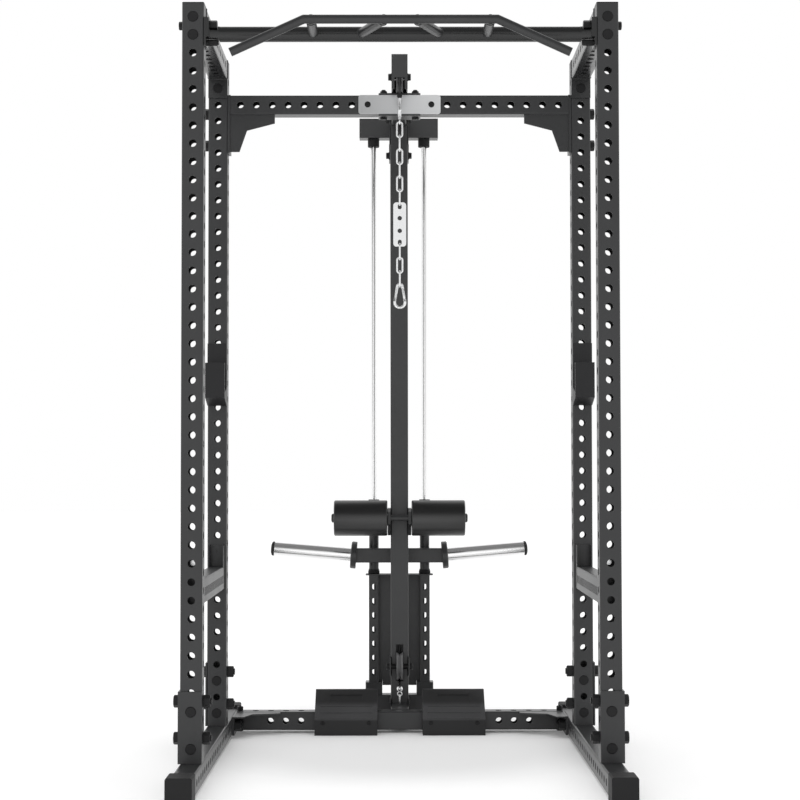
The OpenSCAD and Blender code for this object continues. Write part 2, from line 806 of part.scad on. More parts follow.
// Sockets that stand on the rear foot and hold the channels, and the plate on top of the channels
module channel_plates() {
  color(coat) {
    both_sides() difference() {
      translate([rod_x, foot_y, base_top]) linear_extrude(socket_h)
        round_rect(channel_w + 2 * socket_wall, tube, 5);
      translate([rod_x, foot_y, base_top - 1]) linear_extrude(socket_h + 2)
        round_rect(channel_w, channel_d, 4);
    }
    difference() {
      translate([0, foot_y, rod_foot_z]) linear_extrude(rod_plate_t) round_rect(238, tube + 6, 5);
      for (x = [-1, 1]) translate([x * rod_x, foot_y, rod_foot_z - 1])
        cylinder(h = rod_plate_t + 2, d = rod_d);
    }
  }
}

// Plain panel behind the channels, its lower end between the sockets
module shroud_panel() {
  panel_t = 2.5;
  low = base_top + 27;
  shoulder = base_top + socket_h;
  neck = rod_x - channel_w / 2 - socket_wall - gap;
  color(coat) translate([0, foot_y + channel_d / 2 + panel_t, 0]) rotate([90, 0, 0])
    linear_extrude(panel_t) polygon([
      [-neck, low], [neck, low], [neck, shoulder], [rod_x, shoulder],
      [rod_x, rod_foot_z], [-rod_x, rod_foot_z], [-rod_x, shoulder], [-neck, shoulder]
    ]);
}

module guide_rods() {
  color(chrome) both_sides() translate([rod_x, foot_y, rod_foot_z])
    cylinder(h = head_z + crosshead_h / 2 - 1 - rod_foot_z, d = rod_d);
}

// Rubber buffers at both ends of the carriage's travel
bumper_d = 41;
bumper_low_d = 41;
bumper_top = 29;
module rod_bumpers() {
  color(rubber) both_sides() {
    for (b = [
      [rod_foot_z + rod_plate_t, bumper_low, bumper_low_d],
      [head_z - bumper_top, bumper_top, bumper_d]
    ]) difference() {
      translate([rod_x, foot_y, b[0]]) cylinder(h = b[1], d = b[2]);
      translate([rod_x, foot_y, b[0] - 1]) cylinder(h = b[1] + 2, d = rod_d);
    }
  }
}

// Axle bolt along X: head and nut outside the cheeks, spacers between them and the pulley
module axle_bolt(half, inside) {
  spacer_x = pulley_w / 2 + gap;
  translate([-half, 0, 0]) along_x() cylinder(h = 2 * half, d = axle_d);
  both_sides() {
    translate([half, 0, 0]) along_x() cylinder(h = washer_t, d = 24);
    translate([half + washer_t, 0, 0]) along_x() hex(19, 8);
    translate([spacer_x, 0, 0]) along_x() cylinder(h = inside - spacer_x, d = axle_d + 4);
  }
}

module pulley_axles() {
  color(coat) {
    translate([0, front_pulley_y, top_pulley_z]) axle_bolt(boom_w / 2, boom_w / 2 - cheek_t);
    translate([0, rear_pulley_y, top_pulley_z])
      axle_bolt(boom_w / 2 + cheek_t, boom_w / 2 - tube_wall);
    translate([0, mast_pulley_y, mast_pulley_z]) axle_bolt(tube / 2 + cheek_t, tube / 2);
    translate([0, row_pulley_y, row_pulley_z]) axle_bolt(tube / 2 + cheek_t, tube / 2);
  }
}

// Grooved pulley with its bore along X
module pulley() {
  groove = cable_d / 2 + gap;
  half = pulley_w / 2;
  floor_r = pulley_r - groove;
  color(nylon) along_x() rotate_extrude($fn = 96) polygon([
    [axle_d / 2 + slack, -half], [18, -half], [20, -half + 4], [floor_r - 9, -half + 4],
    [floor_r - 5, -half], [pulley_rim, -half], [pulley_rim, -half + 2],
    [pulley_r, -groove], [floor_r, -groove * 0.6], [floor_r, groove * 0.6], [pulley_r, groove],
    [pulley_rim, half - 2], [pulley_rim, half], [floor_r - 5, half],
    [floor_r - 9, half - 4], [20, half - 4], [18, half], [axle_d / 2 + slack, half]
  ]);
}

module front_top_pulley() { translate([0, front_pulley_y, top_pulley_z]) pulley(); }
module crosshead_pulley() { translate([0, rear_pulley_y, top_pulley_z]) pulley(); }
module mast_top_pulley() { translate([0, mast_pulley_y, mast_pulley_z]) pulley(); }
module row_pulley() { translate([0, row_pulley_y, row_pulley_z]) pulley(); }

// Quarter-by-quarter bend of the cable round a pulley; 0 is +Y and 90 is +Z
module cable_bend(y, z, start, sweep) {
  translate([0, y, z]) rotate([90, 0, 90]) rotate(start)
    rotate_extrude(angle = sweep, $fn = 96) translate([pulley_r, 0]) circle(d = cable_d, $fn = 16);
}

// Straight run of the cable in the plane x = 0
module cable_run(y1, z1, y2, z2) {
  rod_between([0, y1, z1], [0, y2, z2], cable_d / 2, $fn = 16);
}

module cable_over_top() {
  z = top_pulley_z + pulley_r;
  color(rubber) {
    cable_bend(front_pulley_y, top_pulley_z, 90, 90);
    cable_run(front_pulley_y, z, rear_pulley_y, z);
    cable_bend(rear_pulley_y, top_pulley_z, 0, 90);
  }
}

module cable_in_mast() {
  color(rubber) {
    mirror([0, 0, 1]) cable_bend(row_pulley_y, -row_pulley_z, 0, 90 - row_turn);
    cable_run(mast_y, row_pulley_z, mast_y, mast_pulley_z);
    cable_bend(mast_pulley_y, mast_pulley_z, 0, 180);
  }
}

module front_cable_drop() {
  color(rubber) cable_run(lat_y, ball_z + ball_d / 2, lat_y, top_pulley_z);
}
module lat_fall() { color(rubber) cable_run(lat_fall_y, loop_z, lat_fall_y, top_pulley_z); }
module row_fall() { color(rubber) cable_run(row_fall_y, loop_z, row_fall_y, mast_pulley_z); }

// Stop ball and crimped shaft on the pulldown end of the cable
swivel_d = 5;
swivel_l = 10;
module cable_end() {
  shaft_low = eye_z + 14;
  color(rubber) translate([0, lat_y, ball_z]) sphere(d = ball_d);
  color(zinc) difference() {
    union() {
      translate([0, lat_y, shaft_low]) cylinder(h = ball_z - ball_d * 0.45 - shaft_low, d = 9);
      translate([0, lat_y, shaft_low]) cylinder(h = 22, d = 12);
    }
    translate([0, lat_y, shaft_low - 1]) cylinder(h = swivel_l + 2, d = swivel_d + 2 * slack);
  }
}

// One stadium-shaped link in the plane y = 0, centred on the origin
module link(length, width, wire) {
  r = (width - wire) / 2;
  straight = length - width;
  for (side = [0, 180]) rotate([0, side, 0]) {
    translate([0, 0, straight / 2]) rotate([90, 0, 0]) rotate_extrude(angle = 180)
      translate([r, 0]) circle(d = wire, $fn = 16);
    translate([r, 0, -straight / 2]) cylinder(h = straight, d = wire, $fn = 16);
  }
}

// Ring in the plane y = 0
module ring(r, wire) {
  along_y() rotate_extrude() translate([r, 0]) circle(d = wire, $fn = 16);
}

// Swivel eye and the links that hang from it
eye_r = 6.5;
eye_wire = 5;
module chain() {
  color(zinc) {
    translate([0, lat_y, eye_z]) rotate(90) ring(eye_r, eye_wire);
    translate([0, lat_y, eye_z + eye_r + eye_wire / 2 - 1])
      cylinder(h = 14 - eye_r - eye_wire / 2 + 1 - gap, d = 10);
    translate([0, lat_y, eye_z + 12]) cylinder(h = swivel_l + 2, d = swivel_d);
    for (k = [0 : link_n - 1]) if (k < tag_first || k >= tag_first + tag_links)
      translate([0, lat_y, chain_top - link_l / 2 - k * link_pitch]) rotate(k % 2 == 0 ? 0 : 90)
        link(link_l, link_w, link_wire);
  }
}

// Plain tag between two links, with a slot at each end and two round holes
module chain_tag() {
  tag_w = 40;
  tag_top = chain_top - tag_first * link_pitch;
  tag_l = tag_links * link_pitch + 2 * link_wire + gap;
  slot_h = 16;
  color(zinc) translate([0, lat_y + tag_t / 2, tag_top - tag_l / 2]) rotate([90, 0, 0])
    linear_extrude(tag_t) difference() {
      round_rect(tag_w, tag_l, 10);
      for (y = [-1, 1]) translate([0, y * (tag_l / 2 - link_wire - slot_h / 2)])
        round_rect(12, slot_h, 5);
      for (y = [-1, 1]) translate([0, y * tag_l / 7]) circle(d = 14);
    }
}

// Pear-shaped snap hook with its gate on the right-hand side; its sides are tangent to both arcs
hook_lean = asin((hook_r - hook_top_r) / (hook_high - hook_low));
module carabiner() {
  lap = 0.01;
  color(zinc) translate([0, lat_y, 0]) rotate(hook_turn) {
    translate([0, 0, hook_high]) hook_arc(hook_top_r, hook_lean, 180 - 2 * hook_lean);
    translate([0, 0, hook_low]) hook_arc(hook_r, 180 - hook_lean, 180 + 2 * hook_lean);
    mirror([1, 0, 0]) rod_between(side_point(-lap), side_point(1 + lap), hook_wire / 2 - gap / 3);
    rod_between(side_point(-lap), side_point(gate_high), hook_wire / 2 - gap / 3);
    rod_between(side_point(gate_low), side_point(1 + lap), hook_wire / 2 - gap / 3);
  }
}

// Arc of the hook's wire in the plane y = 0, from the start angle on
module hook_arc(r, start, sweep) {
  rotate([90, 0, 0]) rotate(start) rotate_extrude(angle = sweep)
    translate([r, 0]) circle(d = hook_wire, $fn = 16);
}

// Point on the hook's right-hand side; 0 is its upper end and 1 its lower end
function side_end(r, z) = [r * cos(hook_lean), 0, z + r * sin(hook_lean)];
function side_point(t) = side_end(hook_top_r, hook_high) * (1 - t) + side_end(hook_r, hook_low) * t;

module carabiner_gate() {
  gate_d = hook_wire - 1;
  span = hook_high - hook_low;
  top = side_point(gate_high + gap / span);
  pivot = side_point(gate_low - (gate_d / 2 + gap) / span);
  color(zinc) translate([0, lat_y, 0]) rotate(hook_turn) {
    rod_between(pivot, top, gate_d / 2, $fn = 16);
    translate(pivot) sphere(d = gate_d, $fn = 24);
  }
}

// Row end of the cable, with its stop ball and its ring
row_ball_d = 20;
row_ring_r = 7;
row_ring_wire = 4;
row_ring_z = row_end_z - row_ball_d / 2 - row_ring_r;
module row_end() {
  color(rubber) translate([0, row_end_y, row_end_z]) rotate([row_turn - 90, 0, 0])
    cylinder(h = row_end_l, d = cable_d);
  color(zinc) {
    translate([0, row_end_y, row_end_z]) sphere(d = row_ball_d);
    translate([0, row_end_y, row_ring_z]) ring(row_ring_r, row_ring_wire);
  }
}

// Hook that hangs in the row ring
row_hook_l = 36;
row_hook_wire = 5;
module row_hook() {
  top = row_ring_z - row_ring_r + row_ring_wire / 2 + gap + row_hook_wire;
  color(zinc) translate([0, row_end_y, top - row_hook_l / 2]) rotate(90)
    link(row_hook_l, 20, row_hook_wire);
}

// Carriage: crossbar, two sleeves and the fork of its pulley
flange_h = 5;
sleeve_bore = rod_d + 6;
fork_x = pulley_w / 2 + 2;
fork_t = 5;
module horn_frame(start) {
  translate([crossbar_l / 2, crossbar_y, carriage_z]) rotate([0, 90 - horn_tilt, 0])
    translate([0, 0, start]) children();
}
module carriage_frame() {
  tube_low = sleeve_z + flange_h;
  deck = carriage_z + crossbar_s / 2;
  color(coat) {
    difference() {
      translate([-crossbar_l / 2 - 10, crossbar_y, carriage_z]) along_x()
        linear_extrude(crossbar_l + 20) tube_section(crossbar_s, crossbar_s, 3, 4);
      both_sides() horn_frame(collar_gap) cylinder(h = 40, d = 2 * crossbar_s);
    }
    both_sides() {
      difference() {
        translate([rod_x, foot_y, tube_low]) cylinder(h = sleeve_l - 2 * flange_h, d = sleeve_d);
        translate([rod_x, foot_y, tube_low - 1]) cylinder(h = sleeve_l, d = sleeve_bore);
      }
      difference() {
        translate([fork_x, 0, 0]) rotate([90, 0, 90]) linear_extrude(fork_t) polygon([
          [crossbar_y - 18, deck], [crossbar_y + 18, deck], [rear_pulley_y + 16, loop_z + 16],
          [rear_pulley_y - 16, loop_z + 16], [rear_pulley_y - 16, loop_z - 12]
        ]);
        translate([0, rear_pulley_y, loop_z]) axle_hole(axle_d);
      }
    }
  }
  color(zinc) translate([0, rear_pulley_y, loop_z]) {
    translate([-fork_x - fork_t, 0, 0]) along_x() cylinder(h = 2 * (fork_x + fork_t), d = axle_d);
    both_sides() translate([fork_x + fork_t, 0, 0]) along_x() hex(17, 6);
  }
}

module carriage_pulley() { translate([0, rear_pulley_y, loop_z]) pulley(); }
module carriage_cable_loop() { color(rubber) cable_bend(rear_pulley_y, loop_z, 180, 180); }

// Flanged sliding bushings at both ends of the sleeves
module carriage_bushings() {
  bush_l = 35;
  color(nylon) both_sides() for (end = [0, 1])
    translate([rod_x, foot_y, sleeve_z + end * sleeve_l]) mirror([0, 0, end]) difference() {
      union() {
        cylinder(h = flange_h, d = sleeve_d + 4);
        cylinder(h = bush_l, d = sleeve_bore);
      }
      translate([0, 0, -1]) cylinder(h = bush_l + 2, d = rod_d + 2 * slack);
    }
}

// Plate horns, their collars and their end caps
collar_gap = 3;
collar_t = 20;
collar_d = 95;
horn_wall = 3;
module plate_horns() {
  start = collar_gap + collar_t;
  color(chrome) both_sides() horn_frame(start) difference() {
    cylinder(h = horn_l - start, d = horn_d);
    translate([0, 0, -1]) cylinder(h = horn_l, d = horn_d - 2 * horn_wall);
  }
}

module horn_collars() {
  edge = 3;
  color(coat) both_sides() horn_frame(collar_gap) {
    cylinder(h = collar_t - edge, d = collar_d);
    translate([0, 0, collar_t - edge]) cylinder(h = edge, d1 = collar_d, d2 = collar_d - 2 * edge);
  }
}

module horn_caps() {
  skirt = 6;
  color(rubber) both_sides() horn_frame(horn_l) {
    translate([0, 0, -15]) cylinder(h = 15, d = horn_d - 2 * horn_wall);
    cylinder(h = skirt, d = horn_d);
    translate([0, 0, skirt]) cylinder(h = 3, d1 = horn_d, d2 = horn_d - 6);
    translate([0, 0, skirt + 3]) cylinder(h = 3, d1 = horn_d - 6, d2 = horn_d - 24);
  }
}

// Plates on the mast and the axle of the knee rollers
knee_axle_d = 20;
module knee_bracket() {
  y = mast_y - roller_y;
  half = roller_inner + roller_l + gap;
  color(coat) {
    both_sides() difference() {
      translate([tube / 2, 0, roller_z]) rotate([90, 0, 90]) linear_extrude(knee_t) polygon([
        [y - 18, -20], [y - 18, 20], [y + 8, 32], [mast_y + tube / 2, 32],
        [mast_y + tube / 2, -60], [y + 45, -60]
      ]);
      for (side = [-1, 1]) translate([0, knee_bolt_y, roller_z + side * knee_bolt_z]) axle_hole(11);
    }
    translate([0, y, roller_z]) {
      translate([-half, 0, 0]) along_x() cylinder(h = 2 * half, d = knee_axle_d);
      both_sides() {
        translate([tube / 2 + knee_t, 0, 0]) along_x()
          cylinder(h = roller_inner - gap - tube / 2 - knee_t, d = 32);
        translate([half, 0, 0]) along_x() cylinder(h = 6, d = 30);
        translate([half + 6, 0, 0]) along_x() cylinder(h = 3, d1 = 30, d2 = 22);
      }
    }
  }
}

// Padded roller with rounded edges, its bore on the axle
module knee_roller() {
  edge = 8;
  r = roller_d / 2;
  translate([roller_inner, mast_y - roller_y, roller_z]) along_x() rotate_extrude($fn = 96)
    difference() {
      union() {
        square([r, roller_l - 2 * edge]);
        translate([0, -edge]) square([r - edge, roller_l]);
        for (y = [0, roller_l - 2 * edge]) translate([r - edge, y]) circle(edge, $fn = 32);
      }
      translate([-1, -2 * edge]) square([knee_axle_d / 2 + slack + 1, roller_l + 4 * edge]);
    }
}
module knee_roller_right() { color(nylon) translate([8, 0, 0]) knee_roller(); }
module knee_roller_left() { color(nylon) mirror([1, 0, 0]) translate([8, 0, 0]) knee_roller(); }

// Folded foot plates over the floor crossmember, with ribs and side cheeks
foot_t = 3;
module foot_plates() {
  fold = 53;
  run = 109;
  land = 16;
  rise = foot_h - fold;
  slope = norm([run, rise]);
  tilt = atan2(rise, run);
  under = foot_t / cos(tilt);
  back = foot_gap + tube;
  rib_inset = 16;
  color(coat) both_sides() translate([foot_inner, foot_front, 0]) {
    difference() {
      rotate([90, 0, 90]) linear_extrude(foot_w) polygon([
        [0, 0], [0, fold], [run, foot_h], [run + land, foot_h],
        [run + land, foot_h - foot_t], [run + 1, foot_h - foot_t],
        [foot_t, fold + foot_t * tan(tilt) - under], [foot_t, 0]
      ]);
      translate([50, 0, fold]) rotate([tilt, 0, 0]) translate([0, slope * 0.52, -1.5])
        cube([foot_w - 100, slope * 0.3, 6]);
      for (side = [-1, 1]) translate([foot_w / 2 + side * foot_screw_x, foot_t / 2, foot_screw_z])
        along_y() cylinder(h = 2 * foot_t, d = 8.4, center = true);
    }
    for (rib = [3, 30, 60]) translate([0, 0, fold]) rotate([tilt, 0, 0])
      translate([rib_inset, rib, 0]) along_x()
        cylinder(h = foot_w - 2 * rib_inset, d = 4, $fn = 24);
    for (x = [0, foot_w - foot_t]) translate([x, 0, 0]) rotate([90, 0, 90]) linear_extrude(foot_t)
      polygon([
        [foot_t - 1, 0], [foot_t - 1, fold - 1], [run, foot_h - 2], [run + land, foot_h - 2],
        [run + land, foot_h - 30], [back, base_top], [foot_gap, base_top], [foot_gap, 0]
      ]);
  }
}

// Bar cup on the front of a rear upright, with its pin and its lower stud
module j_cup() {
  w = tube;
  back = 10;
  lip = 12;
  pin_z = row_z(cup_row);
  low = pin_z - 146;
  top = pin_z + 48;
  stud_l = 12;
  translate([post_x, rear_y - gap, 0]) {
    translate([-w / 2, 0, 0]) rotate([90, 0, 90]) linear_extrude(w) polygon([
      [0, low], [0, top], [-back, top], [-back, low + 54], [lip - cup_d, low + 40],
      [lip - cup_d, low + 130], [-cup_d, low + 130], [-cup_d, low + 22], [-back, low]
    ]);
    translate([0, 0, pin_z]) along_y() cylinder(h = tube + gap, d = hole_d - 1);
    translate([0, 0, row_z(cup_row - 2)]) along_y() cylinder(h = stud_l, d = hole_d - 1);
  }
}
module j_cup_right() { color(nylon) j_cup(); }
module j_cup_left() { color(nylon) mirror([1, 0, 0]) j_cup(); }

// Safety bars between the uprights, with channel ends and studs in the hole rows
safety_top = row_z(safety_row) - 46;
safety_web = 5;
pin_d = 16;
module safety_bars() {
  start = front_y + tube;
  length = cage_d - tube;
  low = safety_top - safety_h;
  end_top = row_z(safety_row) + 20;
  slot_l = 12;
  slot_h = 24;
  arm = 36;
  arm_lap = 10;
  color(coat) both_sides() {
    difference() {
      translate([post_x, start + safety_web, low + safety_h / 2]) along_y()
        linear_extrude(length - 2 * safety_web) tube_section(safety_w, safety_h, 3, 4);
      for (k = [1 : floor(length / (hole_pitch / 2)) - 2])
        translate([post_x, start + k * hole_pitch / 2, low + safety_h * 0.46])
          cube([safety_w + 2, slot_l, slot_h], center = true);
    }
    for (end = [0, 1]) translate([post_x, start + end * length, 0]) mirror([0, end, 0]) {
      difference() {
        translate([-safety_w / 2, 0, low]) cube([safety_w, safety_web, end_top - low]);
        translate([0, 0, row_z(safety_row)]) hole_along_y(end == 0 ? pin_d + 2 * gap : 2);
      }
      for (side = [-1, 1])
        translate([side * (safety_w / 2 - 2) - 2, safety_web, safety_top - arm_lap])
          cube([4, arm, end_top - safety_top + arm_lap]);
      translate([0, -10, row_z(safety_row - 2)]) along_y() cylinder(h = 10, d = hole_d - 1);
    }
    translate([post_x, rear_y, row_z(safety_row)]) along_y() cylinder(h = 10, d = hole_d - 1);
  }
}

// Pull pin that locks the front end of a safety bar
module safety_pin() {
  start = front_y + tube;
  translate([post_x, start, row_z(safety_row)]) along_y() {
    translate([0, 0, -16]) cylinder(h = 40, d = pin_d);
    translate([0, 0, safety_web + gap]) cylinder(h = 5, d = 24);
    translate([0, 0, 24]) cylinder(h = 12, d = 28);
    translate([0, 0, 36]) cylinder(h = 3, d1 = 28, d2 = 22);
  }
}
module safety_pin_right() { color(zinc) safety_pin(); }
module safety_pin_left() { color(zinc) mirror([1, 0, 0]) safety_pin(); }

base_rails();
end_caps();
upright_front_left();
upright_front_right();
uprights_rear();
foot_brackets();
frame_bolts();
top_rails();
top_flanges();
rear_crossmember();
name_plate();
button_screws();
straight_pull_up_bar();
multi_grip_bar();
pull_up_brackets();
small_bolts();
floor_crossmember();
tower_base();
mast();
top_boom();
boom_clamp();
crosshead();
guide_channels();
channel_plates();
shroud_panel();
guide_rods();
rod_bumpers();
pulley_axles();
knee_bracket();
foot_plates();
cable_over_top();
cable_in_mast();
front_cable_drop();
lat_fall();
row_fall();
cable_end();
chain();
chain_tag();
carabiner();
carabiner_gate();
row_end();
row_hook();
front_top_pulley();
crosshead_pulley();
mast_top_pulley();
row_pulley();
carriage_frame();
carriage_pulley();
carriage_cable_loop();
carriage_bushings();
plate_horns();
horn_collars();
horn_caps();
knee_roller_left();
knee_roller_right();
j_cup_left();
j_cup_right();
safety_bars();
safety_pin_left();
safety_pin_right();
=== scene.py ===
"""Looks of a power cage: rounded edges, welds, foam rollers, cables, finishes and a studio.

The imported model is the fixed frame. Each piece of it that shows gets rounded edges and a
finish, and the pieces that a solid model can't hold are modelled here around it.
"""

import json
import math

import bpy
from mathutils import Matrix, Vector


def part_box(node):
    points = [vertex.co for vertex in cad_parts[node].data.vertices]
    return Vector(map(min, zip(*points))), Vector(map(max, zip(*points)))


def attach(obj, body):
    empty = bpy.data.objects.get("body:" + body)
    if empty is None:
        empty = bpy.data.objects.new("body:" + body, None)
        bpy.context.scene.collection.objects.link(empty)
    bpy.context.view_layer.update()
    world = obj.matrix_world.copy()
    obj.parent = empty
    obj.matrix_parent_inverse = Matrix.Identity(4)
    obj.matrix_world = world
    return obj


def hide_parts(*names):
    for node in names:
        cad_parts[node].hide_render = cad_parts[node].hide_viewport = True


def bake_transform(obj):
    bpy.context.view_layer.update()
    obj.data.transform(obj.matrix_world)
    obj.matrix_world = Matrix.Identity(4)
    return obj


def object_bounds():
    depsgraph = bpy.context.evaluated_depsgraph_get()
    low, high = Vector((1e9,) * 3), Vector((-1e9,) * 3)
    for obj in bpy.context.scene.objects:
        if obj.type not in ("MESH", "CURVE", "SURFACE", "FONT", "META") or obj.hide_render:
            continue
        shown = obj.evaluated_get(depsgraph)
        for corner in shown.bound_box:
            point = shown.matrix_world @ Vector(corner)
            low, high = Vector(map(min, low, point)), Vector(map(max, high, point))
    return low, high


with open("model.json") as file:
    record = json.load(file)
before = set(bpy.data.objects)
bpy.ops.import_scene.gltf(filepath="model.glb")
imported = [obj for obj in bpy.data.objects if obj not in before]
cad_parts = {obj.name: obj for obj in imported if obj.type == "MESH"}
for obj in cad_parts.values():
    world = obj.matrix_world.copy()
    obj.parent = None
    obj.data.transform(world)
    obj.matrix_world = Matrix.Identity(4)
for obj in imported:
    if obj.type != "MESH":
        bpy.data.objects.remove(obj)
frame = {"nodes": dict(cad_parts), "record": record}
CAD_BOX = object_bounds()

bl_info = {
    "name": "Power cage looks",
    "version": (1, 0, 0),
    "blender": (4, 5, 0),
    "location": "View3D > Sidebar > Power cage",
    "description": "Finishes a power cage and sets up its studio",
    "category": "Object",
}

BODIES = frame["record"]["behaviour"]["bodies"]
BODY_OF = {node: body for body, nodes in BODIES.items() for node in nodes}


# Nodes that are dressed alike, and the cable runs with the body listed for each

FRAME_NODES = (
    "base_rails", "upright_front_left", "upright_front_right", "uprights_rear", "foot_brackets",
    "rear_crossmember", "floor_crossmember",
)
TOWER_NODES = ("tower_base", "mast", "top_boom", "boom_clamp", "crosshead")
PULLEYS = (
    "front_top_pulley", "crosshead_pulley", "mast_top_pulley", "row_pulley", "carriage_pulley",
)
RUNS = (("front_cable_drop", "lat_end"), ("lat_fall", "carriage"), ("row_fall", "carriage"))


# Sizes of the solid model that the pieces modelled here follow, in metres

TUBE = 0.060
FLANGE = 0.007
BOOM = 0.050
GUSSET = 0.125
GUSSET_PLATE = 0.006
BAR_R = 0.021
BAR_TOP_TO_AXIS = 0.0405
BAR_PLATE = 0.008
BAR_END_BEAD = ((0.0215, -0.0125), (0.0243, 0.0055))
STUB_R = 0.0135
STUB_ENDS = ((0.240, 0.240), (0.044, 0.108))
STOP_BALL = 0.0165
ROW_SHEATH = 0.030
ROLLER_BORE_R = 0.0102
SAME_PLACE = 0.001


# Settings


def length(name, description, default, low=0.0, high=1.0):
    """A length property in metres."""
    return bpy.props.FloatProperty(
        name=name, description=description, default=default, min=low, max=high,
        unit="LENGTH", precision=4,
    )


def colour(name, description, default):
    """A colour property without alpha, in scene-linear values."""
    return bpy.props.FloatVectorProperty(
        name=name, description=description, default=default, min=0.0, max=1.0,
        size=3, subtype="COLOR",
    )


def share(name, description, default, high=1.0):
    """A plain factor."""
    return bpy.props.FloatProperty(
        name=name, description=description, default=default, min=0.0, max=high,
    )


class CageFinish(bpy.types.PropertyGroup):
    """Colours and surface values of the cage's finishes."""

    coat: colour("Powder coat", "Colour of the powder coat", (0.0245, 0.025, 0.026))
    coat_roughness: share("Coat roughness", "Roughness of the powder coat", 0.345)
    # Tower coat: the same powder coat made lighter, painted light on the mast, boom, crosshead,
    # carriage frame and horn collars
    tower: colour("Tower coat", "Colour of the powder coat on the tower", (0.031, 0.0315, 0.0325))
    # Bar coat: the powder coat made darker as painted shade; its lower roughness stands for a
    # glossier coat
    bars: colour("Bar coat", "Colour of the coat on the pull-up bars", (0.0115, 0.0117, 0.0121))
    # Rear panel: the powder coat made lighter, painted light where the channels shade the panel
    panel: colour("Rear panel with painted light", "Colour of the panel behind the channels", (0.046, 0.0466, 0.0478))
    rubber: colour("Rubber", "Colour of boots, plugs and buffers", (0.016, 0.016, 0.0165))
    foam: colour("Roller skin", "Colour of the knee rollers", (0.0018, 0.0018, 0.002))
    nylon: colour("Nylon", "Colour of bushings and bar cups", (0.014, 0.014, 0.015))
    pulley: colour("Pulley", "Colour of the pulleys", (0.11, 0.11, 0.112))
    zinc: colour("Zinc", "Colour of chain, hooks and pins", (0.88, 0.885, 0.89))
    oxide: colour("Black oxide", "Colour of bolts, nuts and screws", (0.010, 0.010, 0.0105))
    tread: colour("Tread coat", "Colour of the foot plates", (0.013, 0.013, 0.0135))
    chrome: colour("Chrome", "Colour of rods and plate horns", (0.97, 0.97, 0.972))
    steel: colour("Face plate", "Colour of the brushed face plate", (0.47, 0.475, 0.48))
    cable: colour("Cable", "Colour of the cable's sheath", (0.02, 0.02, 0.021))


class CageSizes(bpy.types.PropertyGroup):
    """Sizes of what is modelled here."""

    edge: length("Edge", "Rounding of plate and tube edges", 0.0009, 0.0002, 0.003)
    soft_edge: length("Moulded edge", "Rounding of rubber and nylon edges", 0.0018, 0.0002, 0.004)
    bead: length("Weld bead", "Radius of a weld bead", 0.0026, 0.001, 0.006)
    roller_edge: length("Roller edge", "Rounding of a knee roller's rims", 0.005, 0.001, 0.02)


class StudioSettings(bpy.types.PropertyGroup):
    """Camera, floor and lights."""

    distance: length("Distance", "Camera to the front face of the cage", 4.880, 1.0, 20.0)
    offset: length("Offset", "Camera to the right of the middle", -0.0222, -1.0, 1.0)
    height: length("Height", "Camera above the floor", 0.870, 0.0, 5.0)
    pitch: share("Pitch", "Camera's upward tilt in radians", 0.03777)
    yaw: share("Yaw", "Camera's turn to the right in radians", 0.00397)
    roll: share("Roll", "Camera's roll in radians", 0.0014)
    lens: share("Lens", "Focal length in millimetres on a 36 mm sensor", 80.61, 300.0)
    floor: colour("Floor", "Colour of the floor", (0.80, 0.80, 0.80))
    sky: share("Sky", "Brightness of the room as a light", 0.78, 5.0)
    ceiling: share("Ceiling", "Brightness of the ceiling in reflections", 0.22, 5.0)
    overhead: share("Overhead lamp", "Power of the lamp above, in watts", 70.0, 500.0)
    front: share("Front lamp", "Power of the lamp in front, in watts", 70.0, 500.0)
    # Painted shadow: less white on the floor round the tower's foot darkens it there
    painted_shadow_glow: share("Floor at the tower", "White added to the floor round the tower's foot", 0.04)
    near_glow: share("Near floor", "White added to the floor beside the object", 0.25)
    far_glow: share("Far floor", "White added to the floor far from the object", 0.46)


# Modelling helpers


def deselect():
    """Leaves nothing selected, in object mode."""
    if bpy.context.object and bpy.context.object.mode != "OBJECT":
        bpy.ops.object.mode_set(mode="OBJECT")
    bpy.ops.object.select_all(action="DESELECT")


def pick(*pieces):
    """Selects these objects only and makes the first one active."""
    deselect()
    for piece in pieces:
        piece.select_set(True)
    bpy.context.view_layer.objects.active = pieces[0]


def apply_all(piece):
    """Applies every modifier of a piece."""
    pick(piece)
    for modifier in list(piece.modifiers):
        bpy.ops.object.modifier_apply(modifier=modifier.name)


def settle(piece):
    """Puts a piece's place into its mesh, so that its object sits at the origin."""
    pick(piece)
    bpy.ops.object.transform_apply(location=True, rotation=True, scale=True)


def smooth(piece, degrees=32):
    """Smooth shading up to an angle."""
    pick(piece)
    bpy.ops.object.shade_smooth_by_angle(angle=math.radians(degrees))


def flatten(piece):
    """Weighted normals, so that flat faces stay flat beside their rounded edges."""
    modifier = piece.modifiers.new("normals", "WEIGHTED_NORMAL")
    modifier.keep_sharp = True
    apply_all(piece)


def bevel(piece, width, segments=2, degrees=38, clamp=True):
    """Rounds a piece's sharp edges."""
    modifier = piece.modifiers.new("edges", "BEVEL")
    modifier.width = width
    modifier.segments = segments
    modifier.limit_method = "ANGLE"
    modifier.angle_limit = math.radians(degrees)
    modifier.use_clamp_overlap = clamp
    apply_all(piece)


def finish_piece(piece, name, body, finish, *replaced):
    """Names and dresses a piece, ties it to its body and hides the nodes it stands for."""
    piece.name = name
    piece.data.name = name
    piece.data.materials.clear()
    piece.data.materials.append(material(finish))
    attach(piece, body)
    if replaced:
        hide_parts(*replaced)
    return piece


